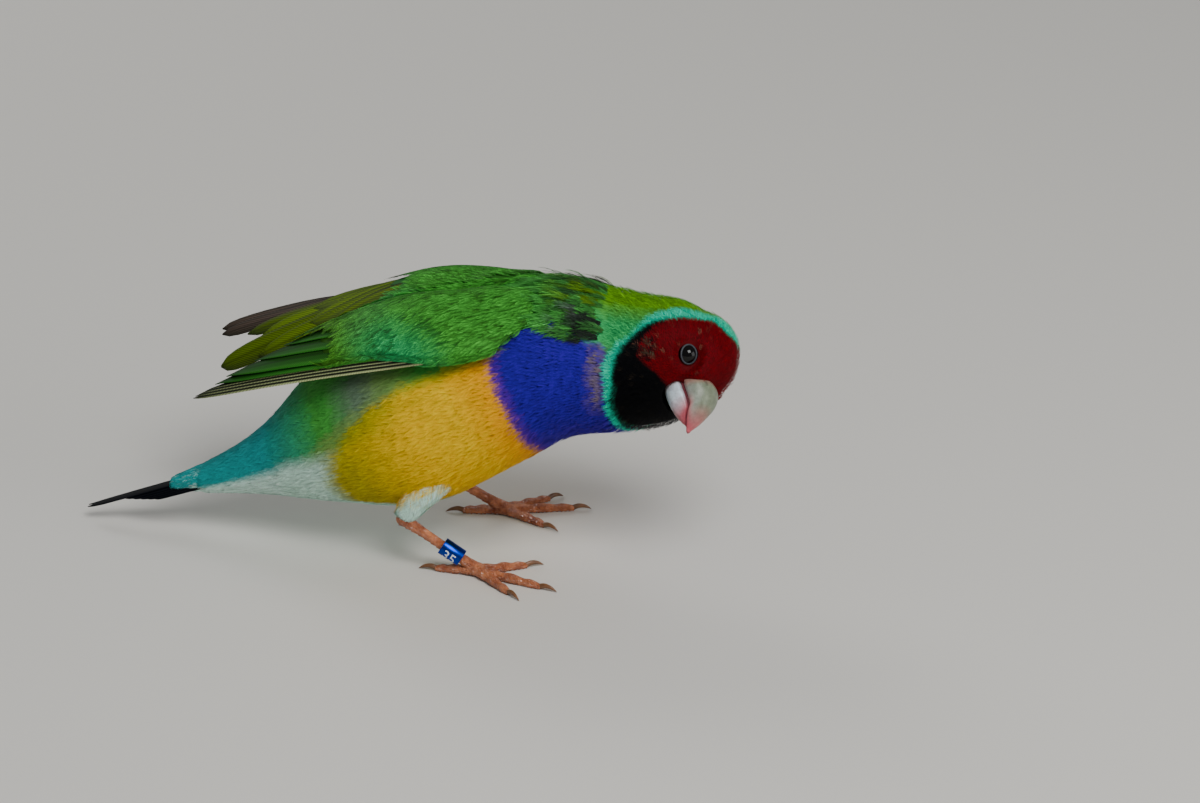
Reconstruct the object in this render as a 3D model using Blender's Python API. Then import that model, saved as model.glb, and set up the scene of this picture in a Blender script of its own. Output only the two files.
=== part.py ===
# Gouldian finch, a red-headed male, standing with its body tipped forward, its neck stretched
# and its head hanging and turned to its right. Life size, modelled in millimetres times MM,
# +X ahead of the bird, +Y to its left, +Z up from the floor between its feet.

import math

import bmesh
import bpy
from mathutils import Matrix, Vector

MM = 0.001
GAP = 0.3  # between pieces that touch

# Driving dimensions, in millimetres.
HEAD_AT = (42.7, -2.0, 43.9)  # a point between the eyes
HEAD_YAW = 61.0  # degrees that the bill swings from straight down towards the right side
HEAD_PITCH = 17.5  # degrees that the bill lifts towards the front
HEAD_ROLL = 17.5  # degrees that the crown leans to the right
EYE_RADIUS = 2.15
EYE_AT = (1.9, -0.2, 6.0)  # along the bill, towards the crown, and out to each side
LID_RADIUS = 1.72
BILL_ROOT = 4.0
BILL_TIP = 16.0
JAW_TIP = 14.0
TARSUS_RADIUS = 0.95
RING_BORE = 1.3
RING_OUTSIDE = 1.78
RING_LENGTH = 4.6

# The trunk from the root of the tail to the nape: ahead, up, half width, half depth.
TRUNK = (
    (-59.5, 10.4, 3.6, 2.3),
    (-50.2, 13.5, 5.8, 4.6),
    (-42.8, 16.3, 8.4, 7.4),
    (-36.5, 19.0, 11.2, 10.8),
    (-28.5, 22.9, 14.4, 15.1),
    (-17.7, 28.0, 17.4, 19.2),
    (-7.5, 33.2, 18.2, 18.8),
    (2.6, 38.1, 17.9, 17.6),
    (10.8, 41.5, 16.6, 16.4),
    (18.0, 42.6, 14.8, 15.6),
    (25.5, 42.5, 13.0, 14.6),
    (32.5, 42.7, 11.8, 13.6),
    (38.0, 43.9, 10.6, 12.3),
    (43.0, 44.6, 8.2, 10.0),
    (46.0, 45.0, 5.0, 6.4),
)
# Balls that fill out the head, in its own axes: centre, then half sizes.
HEAD_BALLS = (
    ((-2.2, 0.4, 0.0), (8.4, 8.3, 8.0)),
    ((-2.6, -4.4, 0.0), (9.4, 8.4, 9.8)),
    ((-0.2, 1.3, 0.0), (7.0, 6.6, 7.7)),
)
# Where the flesh is parted: a point ahead and up, and the slope of the spine there in degrees.
PARTINGS = ((-31.5, 22.8, 28.0), (17.0, 42.4, 6.0), (30.0, 43.8, 4.0))


def mm(point):
    return Vector(point) * MM


def finish(name):
    """A material of the part's colour, given as sRGB, and its roughness."""
    colour, roughness = FINISHES[name]
    material = bpy.data.materials.new(name)
    material.use_nodes = True
    shader = material.node_tree.nodes["Principled BSDF"]
    linear = [((c / 255 + 0.055) / 1.055) ** 2.4 for c in colour]
    shader.inputs["Base Color"].default_value = (*linear, 1.0)
    shader.inputs["Roughness"].default_value = roughness
    material.diffuse_color = (*linear, 1.0)
    return material


FINISHES = {
    "green_feather": ((58, 140, 58), 0.6),
    "yellow_feather": ((240, 184, 10), 0.6),
    "purple_feather": ((60, 44, 165), 0.6),
    "red_feather": ((130, 10, 20), 0.6),
    "teal_feather": ((20, 140, 130), 0.6),
    "black_feather": ((14, 15, 20), 0.5),
    "white_feather": ((205, 212, 205), 0.7),
    "leg_skin": ((190, 108, 66), 0.5),
    "claw_horn": ((96, 66, 44), 0.35),
    "bill_horn": ((205, 205, 192), 0.35),
    "eye_gloss": ((12, 10, 12), 0.05),
    "blue_ring": ((12, 50, 150), 0.3),
}


def place(name, bm, material):
    """An object of this name from a finished bmesh."""
    mesh = bpy.data.meshes.new(name)
    bm.to_mesh(mesh)
    bm.free()
    mesh.shade_smooth()
    mesh.set_sharp_from_angle(angle=math.radians(50))
    obj = bpy.data.objects.new(name, mesh)
    mesh.materials.append(MATERIALS[material])
    bpy.context.scene.collection.objects.link(obj)
    return obj


def through(stations, steps):
    """Rows on a smooth curve through the stations, steps to each span (Catmull-Rom)."""
    rows = [Vector(s) for s in stations]
    ends = [rows[0] * 2 - rows[1]] + rows + [rows[-1] * 2 - rows[-2]]
    found = []
    for a, b, c, d in zip(ends, ends[1:], ends[2:], ends[3:]):
        for step in range(steps):
            t = step / steps
            curve = b * 2 + (c - a) * t
            curve += (a * 2 - b * 5 + c * 4 - d) * t**2
            curve += (b * 3 - a - c * 3 + d) * t**3
            found.append(curve / 2)
    return found + [rows[-1]]


def loft(rings):
    """A closed skin over rings of points, all in millimetres."""
    bm = bmesh.new()
    loops = []
    for points in rings:
        verts = [bm.verts.new(mm(p)) for p in points]
        loops.append([bm.edges.new(pair) for pair in zip(verts, verts[1:] + verts[:1])])
    for back, front in zip(loops, loops[1:]):
        bmesh.ops.bridge_loops(bm, edges=back + front)
    bmesh.ops.holes_fill(bm, edges=loops[0] + loops[-1])
    bmesh.ops.recalc_face_normals(bm, faces=bm.faces)
    return bm


def tube(centres, sizes, sides, across=Vector((0, 1, 0))):
    """A round-sided solid along centres; each size is a half width and a half depth."""
    rings = []
    for i, centre in enumerate(centres):
        ahead = centres[min(i + 1, len(centres) - 1)] - centres[max(i - 1, 0)]
        side = (across - ahead * (across.dot(ahead) / ahead.length_squared)).normalized()
        up = ahead.normalized().cross(side)
        wide, deep = sizes[i]
        turns = [2 * math.pi * (j + 0.5) / sides for j in range(sides)]
        rings.append([centre + side * (wide * math.cos(a)) + up * (deep * math.sin(a)) for a in turns])
    return loft(rings)


def ball(centre, sizes, axes, detail):
    """An ellipsoid with its half sizes along the given axes."""
    bm = bmesh.new()
    bmesh.ops.create_icosphere(bm, subdivisions=detail, radius=MM)
    stretch = Matrix.Diagonal((*sizes, 1.0))
    bmesh.ops.transform(bm, matrix=Matrix.Translation(mm(centre)) @ axes @ stretch, verts=bm.verts)
    return bm


def head_axes():
    """The head's turn as a matrix whose columns are the bill's way, the crown's and the right side's."""
    turn = Matrix.Rotation(math.radians(-HEAD_YAW), 3, "X")
    bill = turn @ Vector((0, 0, -1))
    crown = Vector((1, 0, 0))
    side = bill.cross(crown)
    lift = Matrix.Rotation(math.radians(HEAD_PITCH), 3, side)
    bill = lift @ bill
    crown = lift @ crown
    lean = Matrix.Rotation(math.radians(HEAD_ROLL), 3, bill)
    crown = lean @ crown
    return Matrix((bill, crown, bill.cross(crown))).transposed()


def in_head(point):
    """A point given along the bill, towards the crown and to the right, in the bird's own axes."""
    return Vector(HEAD_AT) + head_axes() @ Vector(point)


def applied(obj):
    """Fixes an object's modifiers in its mesh."""
    graph = bpy.context.evaluated_depsgraph_get()
    mesh = bpy.data.meshes.new_from_object(obj.evaluated_get(graph))
    obj.modifiers.clear()
    obj.data = mesh


def largest(obj):
    """Keeps the largest closed surface of an object."""
    bm = bmesh.new()
    bm.from_mesh(obj.data)
    bmesh.ops.triangulate(bm, faces=bm.faces)
    left = set(bm.faces)
    pieces = []
    while left:
        found = {left.pop()}
        edge = list(found)
        while edge:
            face = edge.pop()
            for other in {f for e in face.edges for f in e.link_faces} & left:
                left.discard(other)
                found.add(other)
                edge.append(other)
        pieces.append(found)
    pieces.sort(key=lambda faces: sum(f.calc_area() for f in faces))
    drop = [f for faces in pieces[:-1] for f in faces]
    bmesh.ops.delete(bm, geom=drop, context="FACES")
    bm.to_mesh(obj.data)
    bm.free()


def cut(obj, cutter, solver="EXACT"):
    """Takes a cutter's form out of an object."""
    boolean = obj.modifiers.new("cut", "BOOLEAN")
    boolean.operation = "DIFFERENCE"
    boolean.solver = solver
    boolean.object = cutter
    applied(obj)
    bpy.data.objects.remove(cutter)
    largest(obj)


def united(obj, pieces, solver="EXACT"):
    """Joins closed pieces to an object by one union."""
    group = bpy.data.collections.new("pieces")
    bpy.context.scene.collection.children.link(group)
    for piece in pieces:
        bpy.context.scene.collection.objects.unlink(piece)
        group.objects.link(piece)
    boolean = obj.modifiers.new("union", "BOOLEAN")
    boolean.operation = "UNION"
    boolean.operand_type = "COLLECTION"
    boolean.solver = solver
    boolean.collection = group
    applied(obj)
    for piece in pieces:
        bpy.data.objects.remove(piece)
    bpy.data.collections.remove(group)
    largest(obj)


def whole_flesh():
    """Trunk, neck and head as one smooth skin, which the nodes of flesh are cut from."""
    rows = through(TRUNK, 3)
    centres = [Vector((x, 0, z)) for x, z, wide, deep in rows]
    body = place("flesh", tube(centres, [(r[2], r[3]) for r in rows], 32), "green_feather")
    axes = head_axes().to_4x4()
    balls = [
        place("ball", ball(in_head(centre), sizes, axes, 4), "red_feather")
        for centre, sizes in HEAD_BALLS
    ]
    united(body, balls)
    remesh = body.modifiers.new("even", "REMESH")
    remesh.mode = "VOXEL"
    remesh.voxel_size = 0.7 * MM
    soft = body.modifiers.new("soft", "SMOOTH")
    soft.factor = 0.5
    soft.iterations = 12
    applied(body)
    return body


def thinned(source, triangles):
    """A copy of a form in about so many triangles."""
    obj = source.copy()
    obj.data = source.data.copy()
    bpy.context.scene.collection.objects.link(obj)
    thin = obj.modifiers.new("thin", "DECIMATE")
    thin.ratio = min(1.0, triangles / len(obj.data.polygons))
    applied(obj)
    return obj


def grown(source, distance):
    """A copy of a closed form, larger all round by the distance."""
    bm = bmesh.new()
    bm.from_mesh(source.data)
    bm.normal_update()
    moved = [(v, v.co + v.normal * (distance * MM)) for v in bm.verts]
    for vert, where in moved:
        vert.co = where
    obj = place("grown", bm, "green_feather")
    obj.hide_render = True
    obj.display_type = "WIRE"
    return obj


def parted(name, flesh, back, front, triangles, material):
    """The flesh between two partings, made of about so many triangles."""
    bm = bmesh.new()
    bm.from_mesh(flesh.data)
    for parting, keep in ((back, 1), (front, -1)):
        if parting is None:
            continue
        ahead, up, slope = parting
        way = Vector((math.cos(math.radians(slope)), 0, math.sin(math.radians(slope))))
        point = mm((ahead, 0, up)) + way * (keep * GAP / 2 * MM)
        geom = bm.verts[:] + bm.edges[:] + bm.faces[:]
        bmesh.ops.bisect_plane(
            bm, geom=geom, dist=1e-7, plane_co=point, plane_no=way * -keep, clear_outer=True
        )
        rim = [e for e in bm.edges if e.is_boundary]
        bmesh.ops.holes_fill(bm, edges=rim)
    bmesh.ops.triangulate(bm, faces=bm.faces)
    bmesh.ops.recalc_face_normals(bm, faces=bm.faces)
    fine = place(name, bm, material)
    obj = thinned(fine, triangles)
    bpy.data.objects.remove(fine)
    obj.name = name
    return obj


def bill_rings(low, high, top, bottom, half, grow=0.0, steps=9):
    """Rings of one mandible from low to high along the bill, between its top and bottom lines."""
    rings = []
    for step in range(steps):
        along = low + (high - low) * step / (steps - 1)
        upper, lower, wide = top(along) + grow, bottom(along) - grow, half(along) + grow
        middle, deep = (upper + lower) / 2, (upper - lower) / 2
        ring = []
        for j in range(16):
            a = 2 * math.pi * j / 16
            c, s = math.cos(a), math.sin(a)
            side = wide * math.copysign(abs(c) ** 0.8, c)
            height = middle + deep * math.copysign(abs(s) ** 0.9, s)
            ring.append(in_head((along, height, side)))
        rings.append(ring)
    return rings


def between(points):
    """A function that reads a smooth line through (along, value) points."""
    rows = through([(a, v, 0) for a, v in points], 8)

    def value(along):
        for a, b in zip(rows, rows[1:]):
            if along <= b.x:
                return a.y + (b.y - a.y) * (along - a.x) / (b.x - a.x)
        return rows[-1].y

    return value


CULMEN = between(((3.0, 1.9), (5.2, 2.4), (7.8, 2.5), (10.4, 1.5), (12.8, -0.7), (14.8, -3.1), (16.0, -4.9)))
MOUTH = between(((3.0, -3.1), (6.0, -3.3), (9.0, -3.1), (12.0, -3.8), (14.0, -4.8), (16.0, -5.6)))
JAW = between(((3.0, -7.4), (5.2, -7.8), (7.8, -7.5), (10.4, -6.8), (12.8, -5.9), (14.0, -5.4)))
UPPER_HALF = between(((3.0, 4.1), (5.5, 4.2), (8.0, 3.9), (11.0, 2.8), (13.8, 1.4), (16.0, 0.3)))
LOWER_HALF = between(((3.0, 3.8), (5.5, 3.9), (8.0, 3.4), (10.6, 2.3), (12.8, 1.1), (14.0, 0.4)))


def bill(head):
    """The two mandibles, solids of horn set into the face, with the mouth line open between them."""
    for top, bottom, half in ((CULMEN, MOUTH, UPPER_HALF), (MOUTH, JAW, LOWER_HALF)):
        rings = bill_rings(BILL_ROOT - GAP, BILL_TIP, top, bottom, half, GAP * 1.5)
        cut(head, place("bill_room", loft(rings), "bill_horn"))
    upper = place(
        "bill_upper",
        loft(bill_rings(BILL_ROOT, BILL_TIP, CULMEN, lambda a: MOUTH(a) + GAP / 2, UPPER_HALF)),
        "bill_horn",
    )
    for side in (-1, 1):
        nostril = place("nostril", ball(in_head((7.6, 1.45, 1.95 * side)), (0.34, 0.26, 0.6), head_axes().to_4x4(), 2), "bill_horn")
        cut(upper, nostril)
    place(
        "bill_lower",
        loft(bill_rings(BILL_ROOT, JAW_TIP, lambda a: MOUTH(a) - GAP / 2, JAW, LOWER_HALF)),
        "bill_horn",
    )


def eyes_and_lids(head):
    """Eyeballs in open sockets, each with a raised lid round it."""
    lids = []
    for name, side in (("eye_right", 1), ("eye_left", -1)):
        along, up, out = EYE_AT
        centre = (along, up, out * side)
        place(name, ball(in_head(centre), (EYE_RADIUS,) * 3, Matrix(), 3), "eye_gloss")
        socket = place("socket", ball(in_head(centre), (EYE_RADIUS + GAP,) * 3, Matrix(), 3), "eye_gloss")
        bore = tube(
            [in_head((along, up, (out + reach) * side)) for reach in (0.6, 4.5)],
            [(LID_RADIUS - 0.25,) * 2] * 2,
            20,
            head_axes().col[0],
        )
        mouth = place("bore", bore, "eye_gloss")
        out_at = out + math.sqrt((EYE_RADIUS + GAP) ** 2 - LID_RADIUS**2)
        turn = Matrix.Translation(mm(in_head((along, up, out_at * side)))) @ head_axes().to_4x4()
        rings = []
        for j in range(20):
            a = 2 * math.pi * j / 20
            hub = Vector((math.cos(a), math.sin(a), 0)) * (LID_RADIUS + 0.12)
            out_way = hub.normalized()
            rings.append(
                [
                    hub + (out_way * math.cos(b) + Vector((0, 0, 1)) * math.sin(b)) * 0.42
                    for b in (2 * math.pi * k / 8 for k in range(8))
                ]
            )
        lid = bmesh.new()
        loops = []
        for points in rings:
            verts = [lid.verts.new(p * MM) for p in points]
            loops.append([lid.edges.new(pair) for pair in zip(verts, verts[1:] + verts[:1])])
        for back, front in zip(loops, loops[1:] + loops[:1]):
            bmesh.ops.bridge_loops(lid, edges=back + front)
        bmesh.ops.transform(lid, matrix=turn, verts=lid.verts)
        bmesh.ops.recalc_face_normals(lid, faces=lid.faces)
        lids.append((place("lid", lid, "red_feather"), socket, mouth))
    united(head, [lid for lid, socket, mouth in lids])
    for lid, socket, mouth in lids:
        cut(head, socket)
        cut(head, mouth)


# Wings: the lower edge and the upper edge of each folded wing from its wrist to its tip.
RIGHT_LOWER = (
    (14.5, -12.8, 52.4), (3.0, -18.0, 50.0), (-9.5, -18.4, 47.3),
    (-24.0, -16.2, 43.4), (-40.0, -13.0, 38.4), (-57.9, -10.0, 32.5),
)
RIGHT_UPPER = (
    (13.5, -4.0, 56.0), (3.0, -2.0, 55.6), (-9.5, -1.8, 54.3),
    (-22.0, -1.8, 51.0), (-38.0, -3.6, 43.2), (-56.8, -8.9, 33.1),
)
LEFT_LOWER = (
    (14.5, 12.8, 52.4), (3.0, 18.0, 50.0), (-9.5, 18.4, 47.9),
    (-22.0, 17.2, 46.8), (-38.0, 15.7, 44.6), (-56.6, 14.0, 39.4),
)
LEFT_UPPER = (
    (13.5, 4.0, 56.0), (3.0, 2.0, 55.6), (-9.5, 1.8, 54.3),
    (-22.0, 2.2, 50.6), (-38.0, 2.6, 43.4), (-53.6, 5.0, 35.4),
)
WING_BULGE = (0.9, 1.6, 2.2, 2.2, 1.4, 0.2)
VANE = 0.25  # half a vane's thickness
LIFT = 0.9  # from one vane to the one that lies over it
# Tiers from the flight feathers to the small coverts: how many, how far apart across the wing,
# half width, where they root and end along it, and their height over the trunk.
TIERS = (
    (8, 2.4, 2.1, 1.1, 5.0, 1.5),
    (6, 3.0, 2.3, 0.62, 2.75, 2.4),
    (5, 3.5, 2.6, 0.3, 1.55, 3.2),
)
# The arm under them: place along the wing, and the heights of its underside and its top.
ARM = ((0.0, -1.6, 0.9), (0.3, -1.0, 1.9), (0.75, -0.6, 2.1), (1.3, 0.0, 1.9), (1.8, 0.6, 1.5))


def off_trunk(point, clear):
    """The point, moved out across the spine until it is clear of the trunk by that much."""
    rows = through(TRUNK, 3)
    for back, front in zip(rows, rows[1:]):
        if back.x <= point.x <= front.x:
            share = (point.x - back.x) / (front.x - back.x)
            x, middle, wide, deep = back.lerp(front, share)
            deep = deep * (front - back).xy.length / (front.x - back.x)
            off = Vector((0, point.y, point.z - middle))
            reach = math.hypot(off.y / (wide + clear), off.z / (deep + clear))
            if reach < 1:
                return Vector((point.x, 0, middle)) + off / reach
    return point


def reader(stations):
    """A function that reads a smooth curve through the stations, one to each whole number."""
    rows = through(stations, 8)

    def at(place):
        place = min(max(place * 8, 0.0), len(rows) - 1.001)
        return rows[int(place)].lerp(rows[int(place) + 1], place - int(place))

    return at


def wing_surface(lower, upper, side):
    """A function of the place along a wing and the distance in from its lower edge."""
    low, high = reader(lower), reader(upper)
    bulge = reader([(b, 0, 0) for b in WING_BULGE])

    def at(along, inward, height):
        a, b = low(along), high(along)
        share = min(max(inward / (b - a).length, 0.0), 1.0)
        ahead = low(along + 0.1) - low(along - 0.1)
        out = ahead.cross(b - a).normalized() * side
        point = a + (b - a).normalized() * inward
        point += out * (bulge(along).x * 4 * share * (1 - share))
        point = off_trunk(point + out * height, height)
        return point, out

    return at, lambda along: (high(along) - low(along)).length


def vane(frames, half_width, half_thick):
    """A thin closed feather along (centre, across, out) frames, split alike on both faces."""
    shape = between(((0.0, 0.85), (0.25, 1.0), (0.6, 1.0), (0.85, 0.8), (0.95, 0.5), (1.0, 0.16)))
    bm = bmesh.new()
    rows = []
    for i, (centre, across, out) in enumerate(frames):
        share = i / (len(frames) - 1)
        wide = half_width * shape(share)
        thick = half_thick * (1.0 if share < 0.95 else 0.5)
        corners = ((wide, thick), (-wide, thick), (-wide, -thick), (wide, -thick))
        rows.append([bm.verts.new(mm(centre + across * w + out * t)) for w, t in corners])
    for (a, b, c, d), (e, f, g, h) in zip(rows, rows[1:]):
        for corners in ((a, b, f), (a, f, e), (d, g, c), (d, h, g), (b, c, g), (b, g, f), (a, e, h), (a, h, d)):
            bm.faces.new(corners)
    for a, b, c, d in (rows[0], rows[-1]):
        bm.faces.new((a, b, c))
        bm.faces.new((a, c, d))
    bmesh.ops.recalc_face_normals(bm, faces=bm.faces)
    return bm


def wing(name, lower, upper, side, body):
    """A folded wing: an arm that lies on the back, and three tiers of vanes rooted in it."""
    surface, width = wing_surface(lower, upper, side)
    rings = []
    for along, under, over in through(ARM, 1):
        reach = width(along)
        shares = [j / 6 for j in range(7)]
        thin = [over if 0 < j < 6 else over * 0.5 for j in range(7)]
        top = [surface(along, reach * t, h)[0] for t, h in zip(shares, thin)]
        below = [p - surface(along, reach * t, 0)[1] * (over - under) for p, t in zip(top, shares)]
        rings.append(top + below[::-1])
    obj = place(name, loft(rings), "green_feather")
    vanes = []
    for count, pitch, half, root, end, height in TIERS:
        for i in range(count):
            inward = half * 0.62 + pitch * i
            if inward + half > width(root) - 0.6:
                break
            tip = end
            while width(tip) < inward and tip > root + 1.0:
                tip -= 0.03
            frames = []
            for step in range(5):
                along = root + (tip - root) * (step / 4) ** 0.9
                over = height * min(1.0, 0.62 + 0.27 * along)
                centre, out = surface(along, inward, over)
                across = surface(along, inward + 0.6, over)[0] - surface(along, inward - 0.6, over)[0]
                across.normalize()
                tilt = math.atan2(LIFT, pitch)
                lean = across * math.cos(tilt) - out * math.sin(tilt)
                frames.append((centre, lean, (out * math.cos(tilt) + across * math.sin(tilt)).normalized()))
            vanes.append(place("vane", vane(frames, half, VANE), "green_feather"))
    united(obj, vanes, "MANIFOLD")
    cut(obj, grown(body, GAP + 0.15), "MANIFOLD")
    return obj


# Tail feathers in three layers: half width, distance from the middle, drop, and where they end.
TAIL_LAYERS = ((1.05, 1.3, 0.0, -84.2), (1.7, 1.75, 0.85, -77.0), (1.7, 2.1, 1.7, -70.5))
TAIL_ROOT = (-60.2, 9.7)
TAIL_SLOPE = 22.0


def tail():
    """The folded tail: a short root, with black feathers in three layers rooted in it."""
    way = Vector((-math.cos(math.radians(TAIL_SLOPE)), 0, -math.sin(math.radians(TAIL_SLOPE))))
    up = Vector((way.z, 0, -way.x))
    root = Vector((TAIL_ROOT[0], 0, TAIL_ROOT[1]))
    marks = ((0.0, 3.7, 2.2), (2.5, 4.0, 2.1), (5.0, 3.9, 1.7), (6.6, 3.2, 1.3))
    obj = place(
        "tail",
        tube([root + way * a for a, wide, deep in marks], [(wide, deep) for a, wide, deep in marks], 12),
        "black_feather",
    )
    vanes = []
    for half, off, drop, end in TAIL_LAYERS:
        for side in (-1, 1):
            length = (end - root.x) / way.x
            frames = []
            for step in range(6):
                along = 2.0 + (length - 2.0) * step / 5
                centre = root + way * along + up * (0.85 - drop)
                centre += Vector((0, off * side * (1 - 0.25 * step / 5), 0))
                frames.append((centre, Vector((0, 1, 0)), up))
            vanes.append(place("vane", vane(frames, half, VANE), "black_feather"))
    united(obj, vanes, "MANIFOLD")


def claw(name, base, way):
    """A curved claw from the end of a toe, its tip just clear of the floor."""
    way = Vector(way).normalized()
    points = [base + way * a + Vector((0, 0, b)) for a, b in ((0.0, 0.0), (1.3, 0.4), (2.7, 0.2), (3.9, -0.42))]
    sizes = [(0.55, 0.6), (0.5, 0.6), (0.34, 0.42), (0.1, 0.1)]
    across = way.cross(Vector((0, 0, 1)))
    place(name, tube(points, sizes, 8, across), "claw_horn")


# Each toe: its name, its heading in degrees from straight ahead, outwards, and its length.
TOES = (("hind", 180.0, 8.6), ("inner", -34.0, 10.4), ("middle", 12.0, 14.2), ("outer", 40.0, 11.0))


def leg(side_name, side, body, heel, foot, turn):
    """Thigh, bare shank and foot of one side, down to the claws."""
    heel, foot = Vector(heel), Vector(foot)
    knee = Vector((-7.5, 8.6 * side, 21.5))
    path = through((knee, Vector((-11.5, 10.6 * side, 16.4)), heel + Vector((0.4, 0, 0.8))), 3)
    sizes = through(((6.4, 6.4, 0), (4.6, 5.0, 0), (1.7, 1.9, 0)), 3)
    thigh = place("thigh_" + side_name, tube(path, [s[:2] for s in sizes], 16), "white_feather")
    cut(thigh, grown(body, GAP + 0.1))
    # The shank runs from just under the thigh to just over the foot.
    way = (foot - heel).normalized()
    start, end = heel + way * 1.15, foot - way * 1.75
    marks = (0.0, 0.12, 0.3, 0.75, 0.9, 1.0)
    widths = (1.35, 1.15, TARSUS_RADIUS, TARSUS_RADIUS, 1.05, 1.2)
    line = [start.lerp(end, t) for t in marks]
    shank = place("shank_" + side_name, tube(line, [(w, w) for w in widths], 14), "leg_skin")
    line[0] = line[0] - way * GAP
    cut(thigh, place("room", tube(line, [(w + GAP, w + GAP) for w in widths], 14), "leg_skin"))
    # The foot: a short pad with four toes, flat underneath.
    pad = place("foot_" + side_name, ball(foot - Vector((0, 0, 0.1)), (1.75, 1.7, 1.6), Matrix(), 3), "leg_skin")
    toes = []
    for name, heading, length in TOES:
        angle = math.radians(turn + heading * side)
        ahead = Vector((math.cos(angle), math.sin(angle), 0))
        rise = 0.55
        marks = ((0.0, 1.25, 1.0), (0.2, 1.35, 0.95), (0.38, 1.0, 0.78), (0.52, 1.15, 0.9), (0.72, 0.85, 0.72), (0.84, 0.92, 0.78), (1.0, 0.7, 0.62))
        points = [Vector((foot.x, foot.y, rise)) + ahead * (length * t) + Vector((0, 0, (1 - t) * 0.5)) for t, w, h in marks]
        across = ahead.cross(Vector((0, 0, 1)))
        sizes = [(w * 0.85, h) for t, w, h in marks]
        toes.append(place("toe", tube(points, sizes, 10, across), "leg_skin"))
        if name == "hind":
            hind_room = (points, [(w + GAP, h + GAP) for w, h in sizes])
            hind_across = across
        claw("claw_" + side_name + "_" + name, points[-1] + ahead * GAP + Vector((0, 0, 0.08)), ahead)
    united(pad, toes)
    ankle = place("room", ball(foot - Vector((0, 0, 0.1)), (2.05, 2.0, 1.9), Matrix(), 3), "leg_skin")
    cut(shank, ankle)
    cut(shank, place("room", tube(*hind_room, 10, hind_across), "leg_skin"))
    flat = bmesh.new()
    flat.from_mesh(pad.data)
    geom = flat.verts[:] + flat.edges[:] + flat.faces[:]
    bmesh.ops.bisect_plane(flat, geom=geom, dist=1e-7, plane_co=(0, 0, 0), plane_no=(0, 0, -1), clear_outer=True)
    bmesh.ops.holes_fill(flat, edges=[e for e in flat.edges if e.is_boundary])
    bmesh.ops.triangulate(flat, faces=flat.faces)
    bmesh.ops.recalc_face_normals(flat, faces=flat.faces)
    flat.to_mesh(pad.data)
    flat.free()
    return start, end


def leg_ring(start, end):
    """An open tube of anodised metal round the right shank."""
    way = (end - start).normalized()
    middle = start.lerp(end, 0.72)
    bm = bmesh.new()
    profile = ((RING_BORE, -1), (RING_OUTSIDE, -1), (RING_OUTSIDE, 1), (RING_BORE, 1))
    verts = [bm.verts.new(mm((r, 0, RING_LENGTH / 2 * s))) for r, s in profile]
    edges = [bm.edges.new(pair) for pair in zip(verts, verts[1:] + verts[:1])]
    bmesh.ops.spin(
        bm, geom=edges, cent=(0, 0, 0), axis=(0, 0, 1), angle=2 * math.pi, steps=32, use_merge=True
    )
    bmesh.ops.remove_doubles(bm, verts=bm.verts, dist=1e-7)
    bmesh.ops.recalc_face_normals(bm, faces=bm.faces)
    turn = Vector((0, 0, 1)).rotation_difference(way).to_matrix().to_4x4()
    bmesh.ops.transform(bm, matrix=Matrix.Translation(mm(middle)) @ turn, verts=bm.verts)
    place("leg_ring", bm, "blue_ring")


for old in list(bpy.data.objects):
    bpy.data.objects.remove(old)
MATERIALS = {name: finish(name) for name in FINISHES}

flesh = whole_flesh()
rear, middle, front = PARTINGS
parted("rump", flesh, None, rear, 700, "teal_feather")
parted("torso", flesh, rear, middle, 2400, "yellow_feather")
parted("neck", flesh, middle, front, 700, "purple_feather")
head = parted("head", flesh, front, None, 1500, "red_feather")
eyes_and_lids(head)
bill(head)
trunk = thinned(flesh, 3200)
under_wings = thinned(flesh, 1300)
wing("wing_right", RIGHT_LOWER, RIGHT_UPPER, 1, under_wings)
wing("wing_left", LEFT_LOWER, LEFT_UPPER, -1, under_wings)
bpy.data.objects.remove(under_wings)
tail()
leg("left", 1, trunk, (-14.5, 12.6, 11.3), (1.0, 14.7, 1.4), 4.0)
shank_start, shank_end = leg("right", -1, trunk, (-15.4, -13.0, 11.1), (0.2, -14.4, 1.4), -6.0)
leg_ring(shank_start, shank_end)
bpy.data.objects.remove(flesh)
bpy.data.objects.remove(trunk)

# The origin goes to the middle of the floor under the whole bird.
corners = [obj.matrix_world @ v.co for obj in bpy.data.objects for v in obj.data.vertices]
low = Vector([min(c[i] for c in corners) for i in range(3)])
high = Vector([max(c[i] for c in corners) for i in range(3)])
shift = Vector((-(low.x + high.x) / 2, -(low.y + high.y) / 2, -low.z))
for obj in bpy.data.objects:
    obj.data.transform(Matrix.Translation(shift))
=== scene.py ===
import math

import bmesh
import bpy
import numpy as np
from mathutils import Matrix, Vector
from mathutils.bvhtree import BVHTree


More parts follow.
